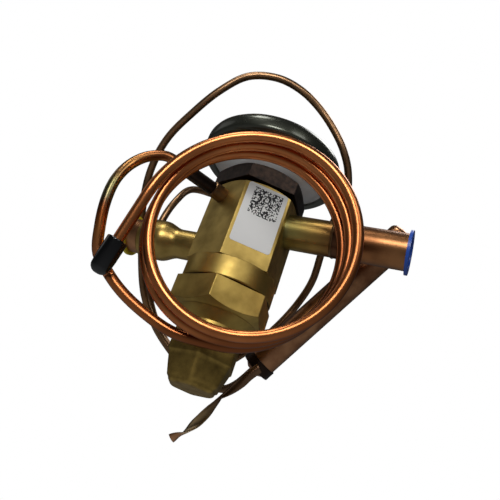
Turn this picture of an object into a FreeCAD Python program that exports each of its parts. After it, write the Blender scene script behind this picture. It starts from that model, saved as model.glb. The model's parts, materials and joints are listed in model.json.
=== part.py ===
"""Thermostatic expansion valve with straight solder connections and a pre-coiled equaliser tube.

The valve stands on its axis, +Z up, with the power element at the top and the seal cap at the
bottom.  The origin is the centre of the seal cap's end.  +X is the outlet, -X the inlet.  All
sizes are in millimetres and angles in degrees.  Every driving size is a cell of the sheet Sizes,
and every body, sketch and placement reads its numbers from those cells.
"""
import FreeCAD, Part
import math
import os
import re

import Sketcher
from FreeCAD import Placement, Rotation, Vector

SIZES = {
    # seal cap, screwed on the foot of the bottom plug
    "cap_flats": 37.0,
    "cap_hex_height": 16.0,
    "cap_taper_height": 15.0,
    "cap_taper_flats": 35.4,
    "cap_end_flats": 27.5,
    "cap_end_round": 2.6,
    "cap_floor": 4.0,
    "cap_cavity_radius": 9.6,
    "cap_turn": 50.0,
    "gasket_thickness": 1.0,
    # bottom plug: foot, shoulder, hexagon and threaded spigot
    "foot_radius": 13.5,
    "foot_length": 14.5,
    "thread_clearance": 0.1,
    "shoulder_radius": 18.4,
    "shoulder_height": 2.0,
    "plug_cone_height": 6.0,
    "plug_cone_radius": 24.0,
    "plug_flats": 53.5,
    "plug_hex_height": 16.5,
    "plug_turn": 36.5,
    "spigot_radius": 19.9,
    "spigot_length": 17.5,
    "plug_floor_rise": 6.0,
    "ring_groove_depth": 2.0,
    "ring_groove_width": 3.0,
    "ring_groove_rise": 11.5,
    "packing_bore_radius": 8.0,
    "packing_bore_depth": 10.5,
    "packing_height": 3.6,
    "gland_height": 6.4,
    # adjusting stem, spring seat and spring
    "stem_radius": 4.0,
    "stem_start": 16.0,
    "stem_square": 5.6,
    "stem_square_height": 6.0,
    "stem_flange_radius": 8.0,
    "stem_flange_height": 2.4,
    "stem_thread_length": 19.5,
    "running_clearance": 0.08,
    "spring_chamber_radius": 12.6,
    "spring_seat_height": 3.0,
    "spring_seat_rise": 10.0,
    "spring_boss_radius": 7.6,
    "spring_boss_height": 4.0,
    "spring_radius": 10.0,
    "spring_wire_radius": 1.2,
    "spring_turns": 5.0,
    "spring_steps": 14.0,
    # body
    "body_flats": 51.0,
    "body_hex_height": 53.0,
    "collar_radius": 28.0,
    "collar_height": 13.5,
    "collar_bevel": 1.2,
    "edge_round": 0.6,
    "top_bevel": 1.6,
    "neck_radius": 17.0,
    "neck_height": 8.5,
    "chamber_radius": 15.5,
    "seat_rise": 21.0,
    "seat_height": 7.0,
    "seat_hole_radius": 8.0,
    "outlet_chamber_radius": 14.0,
    "outlet_chamber_height": 11.5,
    "cavity_radius": 14.0,
    "cavity_depth": 4.0,
    "outlet_rise": 36.2,
    "outlet_passage_radius": 7.0,
    "inlet_rise": 14.3,
    "inlet_passage_radius": 6.5,
    "socket_depth": 5.0,
    "socket_clearance": 0.05,
    # orifice, pin, carrier and push rods
    "port_radius": 5.0,
    "pin_gap": 0.1,
    "pin_head_radius": 6.4,
    "pin_head_height": 1.6,
    "pin_tip_radius": 1.6,
    "pin_cone_height": 7.4,
    "pin_shank_radius": 3.0,
    "carrier_radius": 13.2,
    "carrier_height": 3.5,
    "carrier_boss_height": 5.0,
    "rod_radius": 1.5,
    "rod_spacing": 10.5,
    # power element
    "nut_flats": 53.0,
    "nut_turn": 30.0,
    "element_gasket_thickness": 0.8,
    "nut_height": 11.4,
    "shell_throat_radius": 14.5,
    "shell_wall": 1.5,
    "shell_foot_radius": 19.5,
    "shell_flange_width": 6.5,
    "shell_knee_rise": 14.0,
    "shell_rim_radius": 44.0,
    "element_wrap": 1.9,
    "element_height": 14.4,
    "element_clamp_width": 3.0,
    "element_lip_width": 4.5,
    "element_lip_drop": 1.6,
    "element_side_round": 6.5,
    "element_lip_round": 3.2,
    "element_wall": 2.0,
    "element_crown_radius": 16.0,
    "element_crown_rise": 2.2,
    "diaphragm_thickness": 0.3,
    "diaphragm_wave": 0.5,
    "pad_plate_radius": 24.0,
    "pad_plate_height": 2.2,
    "pad_stem_radius": 8.0,
    "pad_base_radius": 12.8,
    "pad_base_height": 2.5,
    "pad_base_rise": 7.0,
    "ferrule_radius": 4.2,
    "ferrule_height": 9.0,
    "capillary_radius": 2.3,
    # connections
    "tube_radius": 11.1,
    "tube_wall": 1.0,
    "outlet_reach": 97.7,
    "outlet_spigot_reach": 55.0,
    "outlet_spigot_radius": 10.9,
    "inlet_reach": 74.1,
    "inlet_spigot_radius": 9.4,
    "inlet_flare_start": 42.0,
    "inlet_flare_end": 50.0,
    "inlet_cup_end": 66.0,
    "inlet_cup_radius": 12.9,
    "inlet_cup_depth": 12.0,
    "spigot_wall": 2.3,
    "spigot_nose_length": 9.0,
    "braze_size": 1.5,
    # transport plugs
    "plug_flange_radius": 13.3,
    "plug_flange_height": 1.8,
    "plug_cup_length": 14.0,
    "plug_cup_wall": 0.9,
    "plug_cup_clearance": 0.05,
    "plug_cup_draft": 0.5,
    # equaliser connection
    "port_rise": 42.5,
    "equaliser_angle": -128.0,
    "stub_radius": 5.0,
    "stub_reach": 8.5,
    "sleeve_radius": 4.2,
    "stub_seat": 5.5,
    "sleeve_reach": 26.5,
    "sleeve_seat": 5.5,
    "equaliser_bore": 2.4,
    # equaliser tube, its coil and rubber cap
    "equaliser_radius": 3.175,
    "coil_radius": 54.75,
    "coil_centre_x": 23.2,
    "coil_centre_y": -49.9,
    "coil_centre_z": 76.2,
    "coil_azimuth": 12.0,
    "coil_elevation": -9.0,
    "coil_shift_right": -2.9,
    "coil_shift_up": -2.54,
    "coil_pitch": 6.7,
    "coil_points_per_turn": 12.0,
    "coil_start": -0.21,
    "coil_end": 2.5,
    "bore_depth": 14.0,
    "equaliser_wall": 0.8,
    "loop_lead_in": 5.0,
    "free_end_length": 60.0,
    "free_end_lean": 0.035,
    "end_cap_wall": 2.7,
    "end_cap_length": 21.0,
    "end_cap_grip": 16.0,
    # sensing bulb and its strap
    "bulb_radius": 9.525,
    "bulb_length": 132.0,
    "bulb_neck_radius": 4.0,
    "bulb_neck_length": 2.4,
    "bulb_lead_in": 14.0,
    "strap_width": 6.5,
    "strap_thickness": 0.8,
    "strap_inset": 2.4,
    # label on the front flat
    "label_turn": 30.0,
    "label_width": 25.6,
    "label_margin": 2.0,
    "label_thickness": 0.15,
    "label_corner": 1.8,
    "label_rise": 10.0,
}

# Heights up the axis, each stacked on the one below it
SHOULDER = "(cap_taper_height + cap_hex_height + gasket_thickness)"
FOOT_END = f"({SHOULDER} - foot_length)"
PLUG_HEX_BOTTOM = f"({SHOULDER} + shoulder_height + plug_cone_height)"
BODY_BOTTOM = f"({PLUG_HEX_BOTTOM} + plug_hex_height)"
HEX_BOTTOM = f"({BODY_BOTTOM} + collar_height)"
BODY_TOP = f"({HEX_BOTTOM} + body_hex_height)"
NECK_TOP = f"({BODY_TOP} + neck_height)"
CAVITY_FLOOR = f"({BODY_TOP} - cavity_depth)"
SEAT_BOTTOM = f"({HEX_BOTTOM} + seat_rise)"
SEAT_TOP = f"({SEAT_BOTTOM} + seat_height)"
SPIGOT_TOP = f"({BODY_BOTTOM} + spigot_length)"
OUTLET_HEIGHT = f"({HEX_BOTTOM} + outlet_rise)"
INLET_HEIGHT = f"({HEX_BOTTOM} + inlet_rise)"
PORT_HEIGHT = f"({HEX_BOTTOM} + port_rise)"
RING_GROOVE = f"({BODY_BOTTOM} + ring_groove_rise)"
PLUG_FLOOR = f"({PLUG_HEX_BOTTOM} + plug_floor_rise)"
SPRING_SEAT = f"({PLUG_FLOOR} + spring_seat_rise)"
SPRING_FOOT = f"({SPRING_SEAT} + spring_seat_height)"
PIN_SLOPE = "(pin_cone_height / (pin_head_radius - pin_tip_radius))"
PIN_CONE = f"({SEAT_BOTTOM} - pin_gap - (pin_head_radius - port_radius) * {PIN_SLOPE})"
CARRIER_TOP = f"({PIN_CONE} - pin_head_height)"
CARRIER_BOTTOM = f"({CARRIER_TOP} - carrier_height)"
CARRIER_FOOT = f"({CARRIER_BOTTOM} - carrier_boss_height)"
LABEL_HEIGHT = "(body_hex_height - label_rise - label_margin)"
NUT_BOTTOM = f"({BODY_TOP} + element_gasket_thickness)"
SHELL_FOOT = f"({NUT_BOTTOM} + nut_height)"
SHELL_RIM = f"({SHELL_FOOT} + shell_knee_rise)"
DIAPHRAGM = f"({SHELL_RIM} + shell_wall)"
ELEMENT_BOTTOM = f"({SHELL_RIM} - element_lip_drop)"
ELEMENT_TOP = f"({ELEMENT_BOTTOM} + element_height)"
CROWN_TOP = f"({ELEMENT_TOP} + element_crown_rise)"
PAD_BASE = f"({CAVITY_FLOOR} + pad_base_rise)"
PAD_TOP = f"({DIAPHRAGM} - diaphragm_wave)"
SHELL_KNEE = "(shell_rim_radius - shell_flange_width)"
ELEMENT_SIDE = "(shell_rim_radius + element_wrap)"
ELEMENT_INSIDE = "(shell_rim_radius - element_clamp_width)"
ELEMENT_LIP = "(shell_rim_radius - element_lip_width)"
FLAT = "(body_flats / 2)"
SOCKET_FLOOR = f"({FLAT} - socket_depth)"

# Formed tubes, as points that the straight runs aim at; arcs round every corner between them
EQUALISER_LOOP = (
    (-9.0, -29.5, 18.5),
    (-25.0, -35.2, 23.0),
    (-39.2, -41.5, 29.4),
    (-49.4, -46.6, 36.6),
    (-57.5, -52.0, 45.0),
    (-60.6, -57.7, 58.1),
    (-62.2, -61.6, 73.2),
    (-62.3, -61.8, 87.5),
    (-59.0, -58.8, 100.5),
    (-53.0, -55.5, 110.5),
    (-44.0, -51.0, 115.5),
)
CAPILLARY_ROUTE = (
    (0.0, 0.0, 181.0),
    (6.0, 16.0, 187.0),
    (12.0, 34.0, 184.0),
    (15.0, 50.0, 173.0),
    (9.0, 60.0, 159.0),
    (-4.0, 65.0, 151.0),
    (-22.0, 63.0, 150.0),
    (-41.0, 55.0, 152.0),
    (-57.0, 44.0, 152.0),
    (-67.0, 33.0, 146.0),
    (-69.5, 24.0, 130.0),
    (-72.5, 22.0, 109.0),
    (-75.0, 31.0, 86.0),
    (-71.0, 42.0, 64.0),
    (-62.0, 52.0, 45.0),
    (-47.0, 60.0, 31.0),
    (-29.0, 66.0, 26.0),
    (-11.0, 70.0, 35.0),
    (4.0, 71.0, 51.0),
    (17.0, 69.5, 69.0),
    (29.0, 66.5, 87.0),
    (37.0, 61.0, 105.0),
    (41.5, 52.0, 124.0),
    (44.5, 40.0, 140.0),
    (49.0, 25.0, 153.0),
    (48.3, 11.4, 165.2),
    (43.4, 2.2, 175.2),
    (35.4, -3.8, 185.6),
    (23.4, -11.8, 196.8),
    (11.0, -20.6, 205.6),
    (-6.0, -27.0, 206.5),
    (-24.0, -31.0, 200.0),
    (-41.0, -31.0, 187.5),
    (-57.0, -26.0, 171.0),
    (-69.5, -18.0, 151.0),
    (-77.0, -8.0, 131.0),
    (-79.5, 5.0, 109.0),
    (-76.0, 22.0, 84.0),
    (-69.0, 36.0, 60.0),
    (-60.0, 46.0, 41.0),
    (-47.0, 54.0, 29.0),
    (-29.0, 60.0, 21.0),
    (-12.0, 63.0, 17.0),
    (-2.0, 61.5, 16.0),
)
BULB_FOOT = Vector(14.1, 56.0, 32.2)
BULB_AIM = Vector(93.5, 30.0, 139.8)
STRAP_SIDE = Vector(0.3, -0.8, -0.5)
STRAP_TAIL = (
    (13.0, 47.0, 24.5),
    (4.8, 50.0, 15.6),
    (-0.9, 52.0, 6.5),
    (-5.6, 52.5, -4.1),
    (-10.9, 53.0, -14.0),
    (-16.0, 53.5, -19.5),
    (-20.5, 54.0, -23.5),
)
STRAP_TWISTS = (15.0, 55.0, 90.0, 115.0, 135.0, 150.0, 160.0)

# Share of the shorter run that the arc round a corner takes up
ARC_SHARE = 0.45
FULL_TURN = 360
UP = Vector(0, 0, 1)

document = FreeCAD.newDocument("ExpansionValve")
sheet = document.addObject("Spreadsheet::Sheet", "Sizes")
for row, (alias, number) in enumerate(SIZES.items(), start=1):
    sheet.set(f"A{row}", alias)
    sheet.set(f"B{row}", str(number))
    sheet.setAlias(f"B{row}", alias)
document.recompute()

parts = []


def bound(formula):
    """Return the formula with the sheet's name put before each of its aliases."""
    return re.sub(r"[a-z]\w*", lambda word: f"Sizes.{word[0]}" if word[0] in SIZES else word[0], formula)


def value(formula):
    """Return the number that a formula on the sheet gives."""
    return float(sheet.evalExpression(bound(formula)))


def start_body(label):
    """Add an empty body for one sub-part and list it for export."""
    body = document.addObject("PartDesign::Body", label)
    body.Label = label
    parts.append(body)
    return body


def origin_plane(body, role):
    """Return one of the body's own origin planes."""
    return next(item for item in body.Origin.OriginFeatures if item.Role == role)


def start_sketch(body, name, role="XZ_Plane", height=None):
    """Add a sketch on an origin plane of the body, raised to a height if one is given."""
    sketch = body.newObject("Sketcher::SketchObject", name)
    sketch.AttachmentSupport = [(origin_plane(body, role), "")]
    sketch.MapMode = "FlatFace"
    if height is not None:
        sketch.setExpression("AttachmentOffset.Base.z", bound(height))
    return sketch


def draw_outline(sketch, corners):
    """Draw a closed polygon and bind both coordinates of every corner to their formulas."""
    first = sketch.GeometryCount
    count = len(corners)
    spots = [Vector(value(across), value(along), 0) for across, along in corners]
    for index in range(count):
        sketch.addGeometry(Part.LineSegment(spots[index], spots[(index + 1) % count]), False)
    for index in range(count):
        follower = first + (index + 1) % count
        sketch.addConstraint(Sketcher.Constraint("Coincident", first + index, 2, follower, 1))
    for index, (across, along) in enumerate(corners):
        for kind, formula, number in (
            ("DistanceX", across, spots[index].x),
            ("DistanceY", along, spots[index].y),
        ):
            place = sketch.addConstraint(Sketcher.Constraint(kind, -1, 1, first + index, 1, number))
            sketch.setExpression(f"Constraints[{place}]", bound(formula))


def draw_circle(sketch, radius):
    """Draw a circle about the sketch's origin with its radius bound to a formula."""
    circle = sketch.addGeometry(Part.Circle(Vector(0, 0, 0), UP, value(radius)), False)
    sketch.addConstraint(Sketcher.Constraint("Coincident", circle, 3, -1, 1))
    place = sketch.addConstraint(Sketcher.Constraint("Radius", circle, value(radius)))
    sketch.setExpression(f"Constraints[{place}]", bound(radius))


def turn_solid(body, name, corners):
    """Add the solid that an outline of (radius, height) corners sweeps about the body's Z axis."""
    sketch = start_sketch(body, f"{name}_outline")
    draw_outline(sketch, corners)
    feature = body.newObject("PartDesign::Revolution", name)
    feature.Profile = sketch
    feature.ReferenceAxis = (sketch, ["V_Axis"])
    feature.Angle = FULL_TURN
    return feature


def turn_away(body, name, corners):
    """Cut what an outline of (radius, height) corners sweeps about the body's Z axis."""
    sketch = start_sketch(body, f"{name}_outline")
    draw_outline(sketch, corners)
    feature = body.newObject("PartDesign::Groove", name)
    feature.Profile = sketch
    feature.ReferenceAxis = (sketch, ["V_Axis"])
    feature.Angle = FULL_TURN
    return feature


def hexagon(flats, first_corner):
    """Return six corners of a hexagon of the given width across flats, as pairs of formulas."""
    reach = f"({flats}) / 2 / cos(30)"
    angles = [f"({first_corner} + {60 * side})" for side in range(6)]
    return [(f"{reach} * cos({angle})", f"{reach} * sin({angle})") for angle in angles]


def pad_hexagon(body, name, flats, first_corner, bottom, height, hole=None):
    """Pad a hexagon upward from a height, with a round hole left in it if a radius is given."""
    sketch = start_sketch(body, f"{name}_outline", "XY_Plane", bottom)
    draw_outline(sketch, hexagon(flats, first_corner))
    if hole is not None:
        draw_circle(sketch, hole)
    feature = body.newObject("PartDesign::Pad", name)
    feature.Profile = sketch
    feature.setExpression("Length", bound(height))
    return feature


def bevel_hexagon(body, name, radius, face, side):
    """Turn a 30 degree bevel on a hexagon's end: side is + where the metal lies above the face."""
    rim = f"({radius} + 12)"
    return turn_away(body, name, [(radius, face), (rim, face), (rim, f"{face} {side} 12 * tan(30)")])


def drill(body, name, radius, length, start, direction):
    """Cut a round hole from a start point, given as three formulas, along a direction."""
    feature = body.newObject("PartDesign::SubtractiveCylinder", name)
    feature.MapMode = "Deactivated"
    feature.Placement = Placement(Vector(*map(value, start)), Rotation(UP, direction))
    for axis, formula in zip("xyz", start):
        feature.setExpression(f"Placement.Base.{axis}", bound(formula))
    feature.setExpression("Radius", bound(radius))
    feature.setExpression("Height", bound(length))
    return feature


def edge_names(shape, test):
    """Return the names of the edges that pass a test."""
    return [f"Edge{number}" for number, edge in enumerate(shape.Edges, start=1) if test(edge)]


def round_edges(body, name, radius, test):
    """Fillet the edges of the body's latest feature that pass a test."""
    document.recompute()
    base = body.Tip
    feature = body.newObject("PartDesign::Fillet", name)
    feature.Base = (base, edge_names(base.Shape, test))
    feature.setExpression("Radius", bound(radius))
    return feature


def is_ring_at(radius, height):
    """Return a test for a circle about the Z axis of the given radius and height."""
    wanted_radius = value(radius)
    wanted_height = value(height)

    def test(edge):
        """Say whether the edge is that circle."""
        curve = edge.Curve
        if not isinstance(curve, Part.Circle):
            return False
        return abs(curve.Radius - wanted_radius) < 0.01 and abs(curve.Center.z - wanted_height) < 0.01

    return test


def is_upright_corner(flats):
    """Return a test for a hexagon's straight upright edges."""
    corner = value(flats) / 2 / math.cos(math.radians(30))

    def test(edge):
        """Say whether the edge stands upright on a corner of the hexagon."""
        lower, upper = edge.Vertexes[0].Point, edge.Vertexes[-1].Point
        upright = math.hypot(upper.x - lower.x, upper.y - lower.y) < 0.01
        reach = math.hypot(lower.x, lower.y)
        return upright and abs(lower.z - upper.z) > 1 and abs(reach - corner) < 0.05

    return test


def place_along(body, start, direction):
    """Place a body so that its Z axis runs along a direction from a start given as formulas."""
    body.Placement = Placement(Vector(*map(value, start)), Rotation(UP, direction))
    for axis, formula in zip("xyz", start):
        body.setExpression(f"Placement.Base.{axis}", bound(formula))


def straight_and_arcs(points):
    """Join points by straight runs with a tangent arc round every corner and return the wire."""
    edges = []
    here = points[0]
    for before, corner, after in zip(points, points[1:], points[2:]):
        toward = (before - corner).normalize()
        away = (after - corner).normalize()
        half_turn = (math.pi - toward.getAngle(away)) / 2
        reach = ARC_SHARE * min((before - corner).Length, (after - corner).Length)
        radius = reach / math.tan(half_turn)
        entry = corner + toward * reach
        leave = corner + away * reach
        bisector = (toward + away).normalize()
        middle = corner + bisector * (radius / math.cos(half_turn) - radius)
        edges.append(Part.LineSegment(here, entry).toShape())
        edges.append(Part.Arc(entry, middle, leave).toShape())
        here = leave
    edges.append(Part.LineSegment(here, points[-1]).toShape())
    return Part.Wire(edges)


def bent_rod(points, radius):
    """Return a round rod whose centre line follows the points with rounded corners."""
    path = straight_and_arcs(points)
    direction = (points[1] - points[0]).normalize()
    ring = Part.Wire([Part.Circle(points[0], direction, radius).toShape()])
    return path.makePipeShell([ring], True, False)


def add_shape(label, shape):
    """Add a sub-part whose shape is made directly and list it for export."""
    feature = document.addObject("Part::Feature", label)
    feature.Label = label
    feature.Shape = shape
    parts.append(feature)
    return feature


def make_valve_body():
    """Build the hexagonal brass body with its collar, neck, chambers, passages and sockets."""
    body = start_body("valve_body")
    pad_hexagon(body, "body_hexagon", "body_flats", 30, HEX_BOTTOM, "body_hex_height")
    round_edges(body, "body_corner_rounds", "edge_round", is_upright_corner("body_flats"))
    bevel_hexagon(body, "top_bevel_cut", f"({FLAT} - top_bevel / 2)", BODY_TOP, "-")
    turn_solid(
        body,
        "body_collar",
        [
            ("0", BODY_BOTTOM),
            ("collar_radius - collar_bevel", BODY_BOTTOM),
            ("collar_radius", f"{BODY_BOTTOM} + collar_bevel"),
            ("collar_radius", HEX_BOTTOM),
            ("0", HEX_BOTTOM),
        ],
    )
    turn_solid(
        body,
        "body_neck",
        [("0", BODY_TOP), ("neck_radius", BODY_TOP), ("neck_radius", NECK_TOP), ("0", NECK_TOP)],
    )
    plug_bore = "(spigot_radius + thread_clearance)"
    bore_end = f"({SPIGOT_TOP} + 2)"
    chamber_top = f"({SEAT_TOP} + outlet_chamber_height)"
    turn_away(
        body,
        "body_bores",
        [
            ("0", BODY_BOTTOM),
            (plug_bore, BODY_BOTTOM),
            (plug_bore, bore_end),
            ("chamber_radius", bore_end),
            ("chamber_radius", SEAT_BOTTOM),
            ("seat_hole_radius", SEAT_BOTTOM),
            ("seat_hole_radius", SEAT_TOP),
            ("outlet_chamber_radius", SEAT_TOP),
            ("outlet_chamber_radius", chamber_top),
            ("0", chamber_top),
        ],
    )
    turn_away(
        body,
        "element_cavity",
        [
            ("0", CAVITY_FLOOR),
            ("cavity_radius", CAVITY_FLOOR),
            ("cavity_radius", NECK_TOP),
            ("0", NECK_TOP),
        ],
    )
    cut_connections(body)
    cut_internal_ways(body)
    return body


def cut_connections(body):
    """Drill the inlet and outlet passages and the sockets that take the two spigots."""
    for side, direction, height, passage, spigot, inner in (
        ("", Vector(1, 0, 0), OUTLET_HEIGHT, "outlet_passage_radius", "outlet_spigot_radius", "10"),
        ("-", Vector(-1, 0, 0), INLET_HEIGHT, "inlet_passage_radius", "inlet_spigot_radius", "12"),
    ):
        name = "outlet" if side == "" else "inlet"
        start = (f"{side}{inner}", "0", height)
        drill(body, f"{name}_passage", passage, f"{FLAT} - {inner}", start, direction)
        floor = (f"{side}{SOCKET_FLOOR}", "0", height)
        drill(body, f"{name}_socket", f"{spigot} + socket_clearance", "socket_depth + 1", floor, direction)


def cut_internal_ways(body):
    """Drill the push rod holes and the way from the equaliser connection to the element cavity."""
    for side in ("", "-"):
        name = "rod_hole_back" if side == "" else "rod_hole_front"
        start = ("0", f"{side}rod_spacing", f"({SEAT_BOTTOM} - 1)")
        length = f"{CAVITY_FLOOR} - {SEAT_BOTTOM} + 2"
        drill(body, name, "rod_radius + running_clearance", length, start, UP)
    outward = Vector(value("cos(equaliser_angle)"), value("sin(equaliser_angle)"), 0)
    way_start = "(rod_spacing - 1)"
    drill(body, "equaliser_way", "equaliser_bore", f"{FLAT} - {way_start}", radial_point(way_start), outward)
    stub_start = radial_point(f"({FLAT} - stub_seat)")
    drill(body, "stub_socket", "stub_radius + socket_clearance", "stub_seat + 1", stub_start, outward)
    rise = f"{CAVITY_FLOOR} - {PORT_HEIGHT} + 1"
    drill(body, "equaliser_rise", "rod_radius", rise, radial_point("rod_spacing"), UP)


def radial_point(reach):
    """Return the point formulas at a reach from the axis along the equaliser connection."""
    return (f"{reach} * cos(equaliser_angle)", f"{reach} * sin(equaliser_angle)", PORT_HEIGHT)


def make_bottom_plug():
    """Build the plug that closes the body from below and carries the adjusting gear."""
    body = start_body("bottom_plug")
    pad_hexagon(body, "plug_hexagon", "plug_flats", "plug_turn", PLUG_HEX_BOTTOM, "plug_hex_height")
    round_edges(body, "plug_corner_rounds", "edge_round", is_upright_corner("plug_flats"))
    bevel_hexagon(body, "plug_bevel_cut", "(plug_cone_radius + 1)", PLUG_HEX_BOTTOM, "+")
    turn_solid(
        body,
        "plug_foot",
        [
            ("0", FOOT_END),
            ("foot_radius - 1", FOOT_END),
            ("foot_radius", f"{FOOT_END} + 1"),
            ("foot_radius", SHOULDER),
            ("shoulder_radius", SHOULDER),
            ("shoulder_radius", f"{SHOULDER} + shoulder_height"),
            ("plug_cone_radius", PLUG_HEX_BOTTOM),
            ("0", PLUG_HEX_BOTTOM),
        ],
    )
    groove_floor = "spigot_radius - ring_groove_depth"
    turn_solid(
        body,
        "plug_spigot",
        [
            ("0", BODY_BOTTOM),
            ("spigot_radius", BODY_BOTTOM),
            ("spigot_radius", RING_GROOVE),
            (groove_floor, RING_GROOVE),
            (groove_floor, f"{RING_GROOVE} + ring_groove_width"),
            ("spigot_radius", f"{RING_GROOVE} + ring_groove_width"),
            ("spigot_radius", SPIGOT_TOP),
            ("0", SPIGOT_TOP),
        ],
    )
    stem_hole = "(stem_radius + running_clearance)"
    packing_top = f"({FOOT_END} + packing_bore_depth)"
    turn_away(
        body,
        "plug_bores",
        [
            ("0", FOOT_END),
            ("packing_bore_radius", FOOT_END),
            ("packing_bore_radius", packing_top),
            (stem_hole, packing_top),
            (stem_hole, PLUG_FLOOR),
            ("spring_chamber_radius", PLUG_FLOOR),
            ("spring_chamber_radius", SPIGOT_TOP),
            ("0", SPIGOT_TOP),
        ],
    )
    return body


def make_ring(label, inner, outer, bottom, top, bevel=None):
    """Build a plain ring, bevelled on all four edges if a bevel is given."""
    body = start_body(label)
    if bevel is None:
        corners = [(inner, bottom), (outer, bottom), (outer, top), (inner, top)]
    else:
        corners = [
            (inner, f"{bottom} + {bevel}"),
            (f"{inner} + {bevel}", bottom),
            (f"{outer} - {bevel}", bottom),
            (outer, f"{bottom} + {bevel}"),
            (outer, f"{top} - {bevel}"),
            (f"{outer} - {bevel}", top),
            (f"{inner} + {bevel}", top),
            (inner, f"{top} - {bevel}"),
        ]
    turn_solid(body, f"{label}_ring", corners)
    return body


def make_bottom_rings():
    """Build the plug's seal ring, the stem packing, the gland nut and the cap gasket."""
    make_ring(
        "plug_seal_ring",
        "(spigot_radius - ring_groove_depth)",
        "(spigot_radius + thread_clearance)",
        f"({RING_GROOVE} + 0.2)",
        f"({RING_GROOVE} + ring_groove_width - 0.2)",
        "0.6",
    )
    packing_top = f"({FOOT_END} + packing_bore_depth)"
    packing_foot = f"({packing_top} - packing_height)"
    stem_hole = "(stem_radius + running_clearance)"
    make_ring("stem_packing", stem_hole, "packing_bore_radius", packing_foot, packing_top)
    gland_foot = f"({packing_foot} - gland_height)"
    make_ring("gland_nut", stem_hole, "(packing_bore_radius - 0.05)", gland_foot, packing_foot)
    make_ring(
        "cap_gasket",
        "(foot_radius + thread_clearance)",
        "(shoulder_radius - 0.6)",
        f"({SHOULDER} - gasket_thickness)",
        SHOULDER,
    )


def make_seal_cap():
    """Build the cap: a hexagon that tapers to a smaller, rounded hexagonal end."""
    body = start_body("seal_cap")
    hex_bottom = "(cap_taper_height)"
    top = "(cap_taper_height + cap_hex_height)"
    pad_hexagon(body, "cap_hexagon", "cap_flats", "cap_turn", hex_bottom, "cap_hex_height")
    wide = start_sketch(body, "cap_taper_top", "XY_Plane", hex_bottom)
    draw_outline(wide, hexagon("cap_taper_flats", "cap_turn"))
    narrow = start_sketch(body, "cap_taper_end", "XY_Plane", "0")
    draw_outline(narrow, hexagon("cap_end_flats", "cap_turn"))
    taper = body.newObject("PartDesign::AdditiveLoft", "cap_taper")
    taper.Profile = wide
    taper.Sections = [narrow]
    taper.Ruled = True
    round_edges(body, "cap_end_rounds", "cap_end_round", lies_on_end)
    bevel_hexagon(body, "cap_top_bevel", "(cap_flats / 2 - 0.3)", top, "-")
    bore = "(foot_radius + thread_clearance)"
    bore_foot = f"({FOOT_END} - 1)"
    turn_away(
        body,
        "cap_bores",
        [
            ("0", "cap_floor"),
            ("cap_cavity_radius", "cap_floor"),
            ("cap_cavity_radius", bore_foot),
            (bore, bore_foot),
            (bore, top),
            ("0", top),
        ],
    )
    return body


def lies_on_end(edge):
    """Say whether an edge lies in the plane of the cap's end."""
    return all(abs(vertex.Point.z) < 0.001 for vertex in edge.Vertexes)


def make_adjusting_stem():
    """Build the stem: a square end for the key, a smooth shank, a flange and the threaded part."""
    body = start_body("adjusting_stem")
    foot = "(stem_start - stem_square_height)"
    half = "(stem_square / 2)"
    square = start_sketch(body, "stem_square_outline", "XY_Plane", foot)
    draw_outline(square, [(half, half), (f"-{half}", half), (f"-{half}", f"-{half}"), (half, f"-{half}")])
    pad = body.newObject("PartDesign::Pad", "stem_square_end")
    pad.Profile = square
    pad.setExpression("Length", bound("stem_square_height"))
    flange_top = f"({PLUG_FLOOR} + stem_flange_height)"
    thread_top = f"({flange_top} + stem_thread_length)"
    turn_solid(
        body,
        "stem_shank",
        [
            ("0", "stem_start"),
            ("stem_radius", "stem_start"),
            ("stem_radius", PLUG_FLOOR),
            ("stem_flange_radius", PLUG_FLOOR),
            ("stem_flange_radius", flange_top),
            ("stem_radius", flange_top),
            ("stem_radius", f"{thread_top} - 0.8"),
            ("stem_radius - 0.8", thread_top),
            ("0", thread_top),
        ],
    )
    return body


def wound_spring(foot, height):
    """Return a coil spring as a ruled loft of eight-sided rings that follow its winding."""
    count = round(value("spring_turns * spring_steps"))
    middle, wire = value("spring_radius"), value("spring_wire_radius")
    rings = []
    for index in range(count + 1):
        turn = math.tau * value("spring_turns") * index / count
        out = Vector(math.cos(turn), math.sin(turn), 0)
        corners = []
        for corner in range(8):
            around = math.tau * (corner + 0.5) / 8
            rise = foot + height * index / count + wire * math.sin(around)
            corners.append(out * (middle + wire * math.cos(around)) + UP * rise)
        rings.append(Part.makePolygon(corners + corners[:1]))
    return Part.makeLoft(rings, True, True)


def make_spring_gear():
    """Build the spring seat, the superheat spring and the pin carrier it presses on."""
    seat = start_body("spring_seat")
    thread = "(stem_radius + running_clearance)"
    turn_solid(
        seat,
        "spring_seat_disc",
        [
            (thread, SPRING_SEAT),
            ("spring_chamber_radius - running_clearance", SPRING_SEAT),
            ("spring_chamber_radius - running_clearance", SPRING_FOOT),
            ("spring_boss_radius", SPRING_FOOT),
            ("spring_boss_radius", f"{SPRING_FOOT} + spring_boss_height"),
            (thread, f"{SPRING_FOOT} + spring_boss_height"),
        ],
    )
    foot = value(f"{SPRING_FOOT} + spring_wire_radius")
    height = value(f"{CARRIER_BOTTOM} - {SPRING_FOOT} - 2 * spring_wire_radius")
    add_shape("superheat_spring", wound_spring(foot, height))
    carrier = start_body("pin_carrier")
    turn_solid(
        carrier,
        "carrier_disc",
        [
            ("0", CARRIER_FOOT),
            ("spring_boss_radius", CARRIER_FOOT),
            ("spring_boss_radius", CARRIER_BOTTOM),
            ("carrier_radius", CARRIER_BOTTOM),
            ("carrier_radius", CARRIER_TOP),
            ("0", CARRIER_TOP),
        ],
    )


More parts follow.
